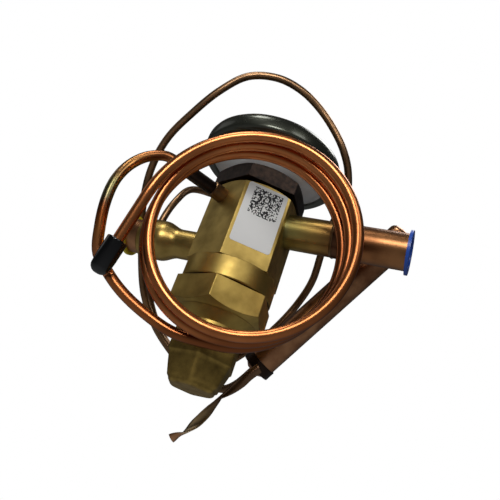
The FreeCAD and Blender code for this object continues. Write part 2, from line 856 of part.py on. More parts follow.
def make_pin_and_seat():
    """Build the valve pin, the two push rods and the orifice seat the pin closes."""
    pin = start_body("valve_pin")
    tip = f"({PIN_CONE} + pin_cone_height)"
    turn_solid(
        pin,
        "pin_head_and_cone",
        [
            ("0", CARRIER_TOP),
            ("pin_head_radius", CARRIER_TOP),
            ("pin_head_radius", PIN_CONE),
            ("pin_tip_radius", tip),
            ("0", tip),
        ],
    )
    for side in ("", "-"):
        label = "push_rod_back" if side == "" else "push_rod_front"
        rod = start_body(label)
        rod_length = f"{PAD_BASE} - {CARRIER_TOP}"
        turn_solid(
            rod,
            f"{label}_pin",
            [("0", "0"), ("rod_radius", "0"), ("rod_radius", rod_length), ("0", rod_length)],
        )
        place_along(rod, ("0", f"{side}rod_spacing", CARRIER_TOP), UP)
    make_ring("orifice_seat", "port_radius", "seat_hole_radius", SEAT_BOTTOM, SEAT_TOP)


def make_element():
    """Build the power element: pad, diaphragm, both shells, the nut and its gasket."""
    pad = start_body("diaphragm_pad")
    base_top = f"({PAD_BASE} + pad_base_height)"
    plate_foot = f"({PAD_TOP} - pad_plate_height)"
    turn_solid(
        pad,
        "pad_mushroom",
        [
            ("0", PAD_BASE),
            ("pad_base_radius", PAD_BASE),
            ("pad_base_radius", base_top),
            ("pad_stem_radius", base_top),
            ("pad_stem_radius", plate_foot),
            ("pad_plate_radius", plate_foot),
            ("pad_plate_radius", PAD_TOP),
            ("0", PAD_TOP),
        ],
    )
    make_diaphragm()
    make_shells()
    nut = start_body("element_nut")
    nut_hole = "neck_radius + thread_clearance"
    pad_hexagon(nut, "nut_hexagon", "nut_flats", "nut_turn", NUT_BOTTOM, "nut_height", nut_hole)
    bevel_hexagon(nut, "nut_bevel_cut", "(nut_flats / 2 - 0.4)", SHELL_FOOT, "-")
    make_ring(
        "element_gasket", "(neck_radius + thread_clearance)", f"({FLAT} - 2)", BODY_TOP, NUT_BOTTOM
    )


def make_diaphragm():
    """Build the thin waved diaphragm clamped between the two shells."""
    body = start_body("diaphragm")
    low = f"({DIAPHRAGM} - diaphragm_wave)"
    under = [
        ("0", low),
        ("pad_plate_radius", low),
        ("pad_plate_radius + 3", DIAPHRAGM),
        ("pad_plate_radius + 6", low),
        ("pad_plate_radius + 9", DIAPHRAGM),
        ("shell_rim_radius", DIAPHRAGM),
    ]
    over = [(across, f"{height} + diaphragm_thickness") for across, height in reversed(under)]
    turn_solid(body, "diaphragm_disc", under + over)
    return body


def make_shells():
    """Build the dished lower shell and the rolled upper shell with its crown and ferrule."""
    lower = start_body("lower_shell")
    inset = "shell_wall * 0.3"
    turn_solid(
        lower,
        "lower_shell_dish",
        [
            ("shell_throat_radius", SHELL_FOOT),
            ("shell_foot_radius", SHELL_FOOT),
            (SHELL_KNEE, SHELL_RIM),
            ("shell_rim_radius", SHELL_RIM),
            ("shell_rim_radius", DIAPHRAGM),
            (f"{SHELL_KNEE} - {inset}", DIAPHRAGM),
            (f"shell_foot_radius - {inset}", f"{SHELL_FOOT} + shell_wall"),
            ("shell_throat_radius", f"{SHELL_FOOT} + shell_wall"),
        ],
    )
    upper = start_body("upper_shell")
    clamp = f"({DIAPHRAGM} + diaphragm_thickness)"
    hole = "capillary_radius / 2"
    roof = f"({ELEMENT_TOP} - element_wall)"
    turn_solid(
        upper,
        "upper_shell_cover",
        [
            (ELEMENT_LIP, ELEMENT_BOTTOM),
            (ELEMENT_SIDE, ELEMENT_BOTTOM),
            (ELEMENT_SIDE, ELEMENT_TOP),
            ("element_crown_radius", ELEMENT_TOP),
            ("element_crown_radius - 3", CROWN_TOP),
            (hole, CROWN_TOP),
            (hole, f"{CROWN_TOP} - element_wall"),
            ("element_crown_radius - 4", f"{CROWN_TOP} - element_wall"),
            ("element_crown_radius - 1", roof),
            (ELEMENT_INSIDE, roof),
            (ELEMENT_INSIDE, clamp),
            ("shell_rim_radius", clamp),
            ("shell_rim_radius", SHELL_RIM),
            (ELEMENT_LIP, SHELL_RIM),
        ],
    )
    round_edges(upper, "side_round", "element_side_round", is_ring_at(ELEMENT_SIDE, ELEMENT_TOP))
    round_edges(upper, "lip_round", "element_lip_round", is_ring_at(ELEMENT_SIDE, ELEMENT_BOTTOM))
    ferrule = start_body("capillary_ferrule")
    seat = f"({CROWN_TOP} + ferrule_height / 3)"
    top = f"({CROWN_TOP} + ferrule_height)"
    turn_solid(
        ferrule,
        "ferrule_sleeve",
        [
            (hole, CROWN_TOP),
            ("ferrule_radius", CROWN_TOP),
            ("ferrule_radius", f"{top} - 1"),
            ("ferrule_radius - 1", top),
            ("capillary_radius", top),
            ("capillary_radius", seat),
            (hole, seat),
        ],
    )


def make_outlet():
    """Build the outlet's brass spigot, copper tube, braze ring and transport plug."""
    axis = Vector(1, 0, 0)
    floor = f"({SOCKET_FLOOR})"
    spigot = start_body("outlet_spigot")
    shoulder = f"(outlet_spigot_reach - {floor})"
    nose = "(tube_radius - tube_wall)"
    turn_solid(
        spigot,
        "outlet_spigot_sleeve",
        [
            ("outlet_passage_radius", "0"),
            ("outlet_spigot_radius", "0"),
            ("outlet_spigot_radius", shoulder),
            (nose, shoulder),
            (nose, f"{shoulder} + spigot_nose_length"),
            ("outlet_passage_radius", f"{shoulder} + spigot_nose_length"),
        ],
    )
    place_along(spigot, (floor, "0", OUTLET_HEIGHT), axis)
    tube = start_body("outlet_tube")
    length = "(outlet_reach - outlet_spigot_reach)"
    turn_solid(
        tube,
        "outlet_tube_wall",
        [(nose, "0"), ("tube_radius", "0"), ("tube_radius", length), (nose, length)],
    )
    place_along(tube, ("outlet_spigot_reach", "0", OUTLET_HEIGHT), axis)
    make_braze("outlet_braze", "outlet_spigot_radius", axis, "outlet_spigot_reach", OUTLET_HEIGHT)
    make_plug("outlet_plug", axis, "outlet_reach", OUTLET_HEIGHT)


def make_inlet():
    """Build the inlet's flared brass spigot, copper tube, braze ring and transport plug."""
    axis = Vector(-1, 0, 0)
    floor = f"({SOCKET_FLOOR})"
    spigot = start_body("inlet_spigot")
    mouth = f"(inlet_cup_end - {floor})"
    cup_floor = f"({mouth} - inlet_cup_depth)"
    flare_start = f"(inlet_flare_start - {floor})"
    sized_end = "(tube_radius - 0.2)"
    turn_solid(
        spigot,
        "inlet_spigot_sleeve",
        [
            ("inlet_passage_radius", "0"),
            ("inlet_spigot_radius", "0"),
            ("inlet_spigot_radius", flare_start),
            ("inlet_cup_radius", f"(inlet_flare_end - {floor})"),
            ("inlet_cup_radius", mouth),
            ("inlet_cup_radius - 0.4", mouth),
            (sized_end, f"{mouth} - braze_size"),
            (sized_end, cup_floor),
            ("tube_radius - tube_wall", cup_floor),
            ("inlet_passage_radius", f"{flare_start} + spigot_wall"),
        ],
    )
    place_along(spigot, (f"-{floor}", "0", INLET_HEIGHT), axis)
    tube = start_body("inlet_tube")
    length = "(inlet_reach - inlet_cup_end + inlet_cup_depth)"
    nose = "(tube_radius - tube_wall)"
    turn_solid(
        tube,
        "inlet_tube_wall",
        [
            (nose, "0"),
            (sized_end, "0"),
            (sized_end, "inlet_cup_depth"),
            ("tube_radius", "inlet_cup_depth"),
            ("tube_radius", length),
            (nose, length),
        ],
    )
    place_along(tube, ("-(inlet_cup_end - inlet_cup_depth)", "0", INLET_HEIGHT), axis)
    braze = start_body("inlet_braze")
    turn_solid(
        braze,
        "inlet_braze_ring",
        [(sized_end, "0"), (sized_end, "-braze_size"), ("inlet_cup_radius - 0.4", "0")],
    )
    place_along(braze, ("-inlet_cup_end", "0", INLET_HEIGHT), axis)
    make_plug("inlet_plug", axis, "-inlet_reach", INLET_HEIGHT)


def make_braze(label, inner, axis, reach, height):
    """Build the ring of braze in the corner between a spigot and the end of its tube."""
    body = start_body(label)
    outer = "tube_radius"
    turn_solid(
        body,
        f"{label}_ring",
        [
            (inner, "-braze_size"),
            (f"{outer} + 0.4", "-0.4"),
            (f"{outer} + 0.4", "0"),
            (inner, "0"),
        ],
    )
    place_along(body, (reach, "0", height), axis)
    return body


def make_plug(label, axis, reach, height):
    """Build a thin plastic plug: a flange against the tube's end and a drafted cup inside it."""
    body = start_body(label)
    outer = "(tube_radius - tube_wall - plug_cup_clearance)"
    tip = f"({outer} - plug_cup_draft)"
    turn_solid(
        body,
        f"{label}_cup",
        [
            ("0", "-plug_cup_length"),
            (tip, "-plug_cup_length"),
            (outer, "0"),
            ("plug_flange_radius", "0"),
            ("plug_flange_radius", "plug_flange_height"),
            (f"{outer} - plug_cup_wall", "plug_flange_height"),
            (f"{tip} - plug_cup_wall", "plug_cup_wall - plug_cup_length"),
            ("0", "plug_cup_wall - plug_cup_length"),
        ],
    )
    place_along(body, (reach, "0", height), axis)
    return body


def make_equaliser_joint():
    """Build the stub on the body and the dark sleeve that holds the equaliser tube in it."""
    outward = Vector(value("cos(equaliser_angle)"), value("sin(equaliser_angle)"), 0)
    stub = start_body("equaliser_stub")
    length = "(stub_seat + stub_reach)"
    seat = f"({length} - sleeve_seat)"
    turn_solid(
        stub,
        "stub_sleeve",
        [
            ("equaliser_bore", "0"),
            ("stub_radius", "0"),
            ("stub_radius", f"{length} - 0.5"),
            ("stub_radius - 0.5", length),
            ("sleeve_radius", length),
            ("sleeve_radius", seat),
            ("equaliser_bore", seat),
        ],
    )
    place_along(stub, radial_point(f"({FLAT} - stub_seat)"), outward)
    sleeve = start_body("equaliser_sleeve")
    sleeve_length = "(sleeve_reach - stub_reach + sleeve_seat)"
    turn_solid(
        sleeve,
        "sleeve_wall",
        [
            ("equaliser_radius", "0"),
            ("sleeve_radius", "0"),
            ("sleeve_radius", f"{sleeve_length} - 0.6"),
            ("sleeve_radius - 0.6", sleeve_length),
            ("equaliser_radius", sleeve_length),
        ],
    )
    place_along(sleeve, radial_point(f"({FLAT} + stub_reach - sleeve_seat)"), outward)


def coil_frame():
    """Return the coil's centre and its right, up and facing directions."""
    azimuth = math.radians(value("coil_azimuth"))
    elevation = math.radians(value("coil_elevation"))
    facing = Vector(
        math.sin(azimuth) * math.cos(elevation),
        -math.cos(azimuth) * math.cos(elevation),
        math.sin(elevation),
    )
    right = Vector(math.cos(azimuth), math.sin(azimuth), 0)
    centre = Vector(value("coil_centre_x"), value("coil_centre_y"), value("coil_centre_z"))
    return centre, right, facing.cross(right), facing


def coil_point(turns):
    """Return the point of the coil a number of turns on from its top."""
    centre, right, up, facing = coil_frame()
    angle = math.pi / 2 - 2 * math.pi * turns
    drift = right * value("coil_shift_right") + up * value("coil_shift_up") - facing * value("coil_pitch")
    circle = (right * math.cos(angle) + up * math.sin(angle)) * value("coil_radius")
    return centre + circle + drift * turns


def coil_corner(turns):
    """Return the coil's point pushed outward so that arcs cut across corners keep its radius."""
    half_step = math.pi / value("coil_points_per_turn")
    centre, _, _, facing = coil_frame()
    point = coil_point(turns)
    hub = centre + (coil_point(turns + 0.5) + point - centre * 2) / 2
    return hub + (point - hub) / math.cos(half_step) ** 0.5


def free_end_direction():
    """Return the direction in which the equaliser's free end leaves the coil."""
    _, right, up, facing = coil_frame()
    angle = math.pi / 2 - 2 * math.pi * value("coil_start")
    lean = facing * value("free_end_lean")
    return (up * math.cos(angle) - right * math.sin(angle) + lean).normalize()


def make_equaliser():
    """Bend the equaliser tube through its loop and flat coil, bore it and cap its free end."""
    joint = Vector(*map(value, radial_point(f"({FLAT} + stub_reach - sleeve_seat)")))
    turn_count = value("coil_end - coil_start")
    steps = round(turn_count * value("coil_points_per_turn"))
    coil = [coil_corner(value("coil_start") + turn_count * step / steps) for step in range(steps + 1)]
    direction = free_end_direction()
    coil[0] = coil_point(value("coil_start"))
    end = coil[0] + direction * value("free_end_length")
    entry = Vector(*map(value, radial_point(f"({FLAT} + sleeve_reach + loop_lead_in)")))
    points = [end] + coil + [Vector(*place) for place in EQUALISER_LOOP] + [entry, joint]
    tube = bent_rod(points, value("equaliser_radius"))
    bore = value("equaliser_radius - equaliser_wall")
    depth = value("bore_depth")
    inward = (joint - points[-2]).normalize()
    end_bore = Part.makeCylinder(bore, depth, end, direction * -1)
    joint_bore = Part.makeCylinder(bore, depth, joint, inward * -1)
    add_shape("equaliser_tube", tube.cut(end_bore).cut(joint_bore))
    cap = start_body("equaliser_end_cap")
    outer = "(equaliser_radius + end_cap_wall)"
    cap_play = "plug_cup_clearance"
    turn_solid(
        cap,
        "end_cap_cup",
        [
            ("0", "end_cap_grip"),
            (f"equaliser_radius + {cap_play}", "end_cap_grip"),
            (f"equaliser_radius + {cap_play}", "0"),
            (outer, "0"),
            (outer, "end_cap_length - 1"),
            (f"{outer} - 1", "end_cap_length"),
            ("0", "end_cap_length"),
        ],
    )
    mouth = end - direction * value("end_cap_grip")
    cap.Placement = Placement(mouth, Rotation(UP, direction))


def make_bulb():
    """Build the sensing bulb, the capillary that feeds it and the strap round it."""
    axis = (BULB_AIM - BULB_FOOT).normalize()
    bulb = start_body("sensing_bulb")
    seat = "(bulb_neck_length * 2)"
    turn_solid(
        bulb,
        "bulb_shell",
        [
            ("0", seat),
            ("capillary_radius", seat),
            ("capillary_radius", "0"),
            ("bulb_neck_radius", "0"),
            ("bulb_radius", "bulb_neck_length"),
            ("bulb_radius", "bulb_length - 2.5"),
            ("bulb_radius - 2.5", "bulb_length"),
            ("0", "bulb_length"),
        ],
    )
    bulb.Placement = Placement(BULB_FOOT, Rotation(UP, axis))
    lead_in = BULB_FOOT - axis * value("bulb_lead_in")
    last = BULB_FOOT + axis * value(seat)
    first = Vector(0, 0, value(f"{CROWN_TOP} + ferrule_height / 3"))
    route = [Vector(*place) for place in CAPILLARY_ROUTE]
    add_shape("capillary_tube", bent_rod([first] + route + [lead_in, last], value("capillary_radius")))
    add_shape("bulb_strap", strap_shape(axis))


def strap_shape(axis):
    """Return the strap: a band round the bulb and a twisted tail hanging from it."""
    inner = value("bulb_radius")
    thickness = value("strap_thickness")
    width = value("strap_width")
    foot = BULB_FOOT + axis * value("strap_inset")
    band = Part.makeCylinder(inner + thickness, width, foot, axis)
    band = band.cut(Part.makeCylinder(inner, width, foot, axis))
    side = (STRAP_SIDE - axis * STRAP_SIDE.dot(axis)).normalize()
    middle = foot + axis * (width / 2)
    root = middle + side * (inner + thickness)
    places = [root] + [Vector(*place) for place in STRAP_TAIL]
    sections = []
    for index, place in enumerate(places):
        after = places[min(index + 1, len(places) - 1)]
        before = places[max(index - 1, 0)]
        along = (after - before).normalize()
        twist = 0.0 if index == 0 else STRAP_TWISTS[index - 1]
        flat = (side - along * side.dot(along)).normalize()
        flat = Rotation(along, twist).multVec(flat)
        across = flat.cross(along)
        corners = [
            place + across * (width / 2) * right + flat * (thickness / 2) * top
            for right, top in ((1, 1), (-1, 1), (-1, -1), (1, -1))
        ]
        sections.append(Part.makePolygon(corners + [corners[0]]))
    tail = Part.makeLoft(sections, True, True)
    return band.fuse(tail)


def make_label():
    """Build the thin label on the body's front flat."""
    body = start_body("label")
    half = "(label_width / 2)"
    sheet_outline = start_sketch(body, "label_outline")
    draw_outline(
        sheet_outline,
        [(f"-{half}", "0"), (half, "0"), (half, LABEL_HEIGHT), (f"-{half}", LABEL_HEIGHT)],
    )
    pad = body.newObject("PartDesign::Pad", "label_sheet")
    pad.Profile = sheet_outline
    pad.setExpression("Length", bound("label_thickness"))
    round_edges(body, "label_corners", "label_corner", runs_across_label)
    turn = Rotation(UP, value("label_turn"))
    middle = ("body_flats / 2 * cos(60)", "-body_flats / 2 * sin(60)", f"{HEX_BOTTOM} + label_rise")
    body.Placement = Placement(Vector(*map(value, middle)), turn)
    for axis, formula in zip("xyz", middle):
        body.setExpression(f"Placement.Base.{axis}", bound(formula))
    return body


def runs_across_label(edge):
    """Say whether an edge runs through the label's thickness."""
    lower, upper = edge.Vertexes[0].Point, edge.Vertexes[-1].Point
    return abs(abs(lower.y - upper.y) - value("label_thickness")) < 0.001


def check_and_export():
    """Stop on any faulty object, then write each sub-part as a STEP file of its own."""
    for item in document.Objects:
        if "Invalid" in item.State or "Error" in item.State:
            raise RuntimeError(f"{item.Name} did not compute")
    for part in parts:
        if part.Shape.isNull() or not part.Shape.isValid() or not part.Shape.Solids:
            raise RuntimeError(f"{part.Label} has no valid solid")
    os.makedirs("parts", exist_ok=True)
    for part in parts:
        part.Shape.exportStep(f"parts/{part.Label}.step")
        print(part.Label, round(part.Shape.Volume), len(part.Shape.Solids), part.Shape.BoundBox)


make_valve_body()
make_bottom_plug()
make_bottom_rings()
make_seal_cap()
make_adjusting_stem()
make_spring_gear()
make_pin_and_seat()
make_element()
make_outlet()
make_inlet()
make_equaliser_joint()
make_equaliser()
make_bulb()
make_label()
document.recompute()
check_and_export()
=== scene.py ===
"""Looks of a thermostatic expansion valve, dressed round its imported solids.

The solids of the valve come in as the fixed frame and only receive materials.  The pieces whose
real surface is smooth or soft are made here: the bent tubes, the turned head and connections, the
forged cap, the twisted strap and the label's print.  Sizes are millimetres in the valve's own frame
and become metres where a mesh is made; the camera and the lights stand in metres.  +Z runs up the
axis, +X to the outlet, and the origin is the centre of the seal cap's end.
"""

import json
import logging
import math
from dataclasses import dataclass, field
from enum import Enum
from typing import Sequence

import bpy
import numpy as np
from mathutils import Matrix, Vector

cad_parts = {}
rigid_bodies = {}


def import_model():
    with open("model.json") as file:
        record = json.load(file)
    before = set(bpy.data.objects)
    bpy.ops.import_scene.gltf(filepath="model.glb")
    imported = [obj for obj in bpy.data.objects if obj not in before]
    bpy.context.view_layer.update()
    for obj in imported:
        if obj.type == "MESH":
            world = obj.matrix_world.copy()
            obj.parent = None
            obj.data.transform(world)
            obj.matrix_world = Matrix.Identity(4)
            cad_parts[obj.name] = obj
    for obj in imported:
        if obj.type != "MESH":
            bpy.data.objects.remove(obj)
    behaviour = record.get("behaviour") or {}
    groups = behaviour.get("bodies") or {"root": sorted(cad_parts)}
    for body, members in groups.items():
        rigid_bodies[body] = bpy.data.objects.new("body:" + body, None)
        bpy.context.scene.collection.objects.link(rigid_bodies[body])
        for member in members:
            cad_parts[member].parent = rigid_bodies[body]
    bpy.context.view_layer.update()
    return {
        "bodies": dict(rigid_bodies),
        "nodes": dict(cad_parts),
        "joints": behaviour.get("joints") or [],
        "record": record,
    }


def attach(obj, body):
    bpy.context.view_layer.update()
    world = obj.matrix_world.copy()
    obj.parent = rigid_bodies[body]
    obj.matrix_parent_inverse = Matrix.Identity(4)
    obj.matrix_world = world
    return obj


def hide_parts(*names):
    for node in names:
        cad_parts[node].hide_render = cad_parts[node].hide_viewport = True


LOG = logging.getLogger("valve_scene")
MM = 0.001

Point = tuple[float, float, float]
Corner = tuple[float, float]
CENTRE: Point = (0.0, 0.0, 0.0)
UPWARD: Point = (0.0, 0.0, 1.0)

# where rings start: no tube sets off along the first, no turned piece points along the second
SWEEP_SIDE: Point = (0.3, 0.9, 0.2)
LATHE_SIDE: Point = (0.31, 0.77, 0.55)
# samples between two guide points of a path, and points on a rounded corner
PATH_SAMPLES = 24
ARC_POINTS = 6
# the span of noise that the mottle uses, and how far roughness swings with it
MOTTLE_SPAN = (0.35, 0.75)
ROUGHNESS_SWING = (0.8, 1.35)
# depth of tool marks and of forged grain, in millimetres
MARK_DEPTH = 0.03
GRAIN_DEPTH = 0.12


class Detail(Enum):
    """How finely a curved surface is divided."""

    DRAFT = 0.5
    FULL = 1.0


@dataclass(frozen=True)
class Camera:
    """The view of the finished picture."""

    place: Point = (0.12280, -0.31016, -0.06509)
    right: Point = (0.92958, 0.20497, 0.30639)
    up: Point = (-0.16441, -0.51339, 0.84226)
    lens_mm: float = 42.8
    sensor_mm: float = 36.0
    shift_x: float = 0.00626
    shift_y: float = -0.03244
    clip: tuple[float, float] = (0.01, 20.0)


@dataclass(frozen=True)
class CoilShape:
    """The flat coil of the equaliser tube: a circle that drifts along a straight line.

    Angles are degrees, and start and end count turns from the top of the first one.  The free end
    springs open by spring, leans along the facing direction and is guided by free_steps.
    """

    centre: Point = (23.2, -49.9, 76.2)
    radius: float = 54.75
    azimuth: float = 12.0
    elevation: float = -9.0
    drift: Point = (-2.9, -2.54, -6.7)
    start: float = -0.24
    end: float = 2.5
    free_length: float = 46.5
    lean: float = -0.085
    spring: float = 7.4
    free_steps: tuple[float, ...] = (38.0, 28.0, 18.0, 8.0)

    def axes(self) -> tuple[np.ndarray, np.ndarray, np.ndarray]:
        """Return the coil's right, up and facing directions.

        Returns:
            Three unit vectors in the valve's frame.
        """
        azimuth, elevation = math.radians(self.azimuth), math.radians(self.elevation)
        facing = np.array(
            [
                math.sin(azimuth) * math.cos(elevation),
                -math.cos(azimuth) * math.cos(elevation),
                math.sin(elevation),
            ]
        )
        right = np.array([math.cos(azimuth), math.sin(azimuth), 0.0])
        return right, np.cross(facing, right), facing

    def point(self, turns: float) -> np.ndarray:
        """Return the centre line's point a number of turns on from the top.

        The point is c + R (right cos a + up sin a) + t drift, with a = 90 degrees - 360 t.  Before
        the top of the first turn R grows by the square of the way back, to the free end's spring.

        Args:
            turns: How many turns on from the top of the first one.

        Returns:
            The point in millimetres.
        """
        right, up, facing = self.axes()
        angle = math.pi / 2 - 2 * math.pi * turns
        drift = right * self.drift[0] + up * self.drift[1] + facing * self.drift[2]
        radius = self.radius + (self.spring * (turns / self.start) ** 2 if turns < 0 else 0.0)
        circle = radius * (right * math.cos(angle) + up * math.sin(angle))
        return np.array(self.centre) + circle + turns * drift

    def free_direction(self) -> np.ndarray:
        """Return the direction in which the straight free end leaves the coil.

        Returns:
            A unit vector.
        """
        last = self.point(self.start) - self.point(self.start * 0.98)
        along = last / np.linalg.norm(last) + self.axes()[2] * self.lean
        return along / np.linalg.norm(along)


@dataclass(frozen=True)
class EqualiserTube:
    """The 6.35 mm copper tube: straight free end, flat coil, loop and fitting end."""

    radius: float = 3.175
    coil: CoilShape = field(default_factory=CoilShape)
    loop: tuple[Point, ...] = (
        (-9.0, -29.5, 18.5),
        (-25.0, -35.2, 23.0),
        (-39.2, -41.5, 29.4),
        (-49.4, -46.6, 36.6),
        (-57.5, -52.0, 45.0),
        (-60.0, -57.7, 58.1),
        (-61.4, -61.6, 73.2),
        (-61.5, -61.8, 87.3),
        (-59.0, -58.8, 100.5),
        (-53.0, -55.5, 109.5),
        (-44.5, -51.0, 114.5),
    )
    fitting: tuple[Point, ...] = (
        (-36.0, -45.8, 113.2),
        (-29.5, -37.7, 112.5),
        (-23.0, -29.4, 112.5),
    )
    steps_per_turn: int = 36
    step: float = 2.2
    split_at: Point = (-49.4, -46.6, 36.6)

    def points(self) -> np.ndarray:
        """Return points along the whole centre line, from the free end to the fitting.

        Returns:
            An array of points in millimetres.
        """
        coil = self.coil
        count = round((coil.end - coil.start) * self.steps_per_turn)
        turns = [coil.start + (coil.end - coil.start) * i / count for i in range(count + 1)]
        ring = [coil.point(t) for t in turns]
        along = coil.free_direction()
        free = [ring[0] + along * reach for reach in (coil.free_length, *coil.free_steps)]
        rest = [np.array(p) for p in self.loop + self.fitting]
        return np.array(free + ring + rest)


@dataclass(frozen=True)
class CapillaryTube:
    """The thin capillary from the head round the valve to the sensing bulb."""

    radius: float = 2.55
    step: float = 2.4
    route: tuple[Point, ...] = (
        (0.0, 0.0, 167.2),
        (0.0, 0.0, 175.0),
        (1.0, 2.0, 181.5),
        (6.0, 15.0, 186.5),
        (12.0, 34.0, 183.5),
        (15.0, 49.0, 172.5),
        (9.0, 60.0, 159.0),
        (-4.0, 65.0, 151.0),
        (-22.0, 63.0, 150.0),
        (-41.0, 55.0, 152.0),
        (-57.0, 44.0, 152.0),
        (-67.0, 33.0, 146.0),
        (-69.5, 24.0, 130.0),
        (-72.5, 22.0, 109.0),
        (-75.0, 31.0, 86.0),
        (-71.0, 42.0, 64.0),
        (-60.9, 52.0, 46.1),
        (-46.2, 60.0, 32.9),
        (-29.0, 66.0, 27.0),
        (-11.0, 69.5, 35.0),
        (4.0, 70.5, 51.0),
        (17.0, 69.0, 69.0),
        (27.2, 66.0, 87.5),
        (34.1, 60.5, 104.7),
        (36.8, 52.0, 123.1),
        (41.2, 40.0, 139.6),
        (49.0, 25.0, 153.0),
        (48.3, 11.4, 165.2),
        (43.4, 2.2, 175.2),
        (35.4, -3.8, 185.6),
        (23.2, -11.8, 196.6),
        (10.1, -20.6, 202.9),
        (-6.3, -27.0, 206.1),
        (-25.5, -31.0, 201.8),
        (-41.0, -31.0, 187.3),
        (-56.2, -26.0, 170.5),
        (-71.3, -18.0, 151.8),
        (-79.1, -8.0, 131.4),
        (-80.8, 5.0, 109.0),
        (-77.4, 22.0, 83.7),
        (-70.3, 36.0, 59.5),
        (-58.5, 46.0, 42.6),
        (-45.6, 54.0, 31.5),
        (-29.0, 60.0, 21.5),
        (-13.0, 62.6, 17.3),
        (-2.5, 61.4, 16.8),
        (5.2, 58.9, 21.2),
        (14.1, 56.0, 32.2),
        (16.9, 55.1, 36.0),
    )


@dataclass(frozen=True)
class Finish:
    """One surface finish: a base colour, how metallic and how rough it is, and its fine marks."""

    name: str
    colour: str
    metallic: float
    roughness: float
    mottle: float = 0.0
    mottle_mm: float = 8.0
    mottle_colour: str = "#000000"
    scratch: float = 0.0
    scratch_mm: Point = (0.4, 0.4, 0.4)
    edge_mm: float = 0.0
    coat: float = 0.0
    bump: float = 0.0
    bump_mm: float = 1.0
    band_axis: int = 2
    bands: tuple[tuple[float, str], ...] = ()


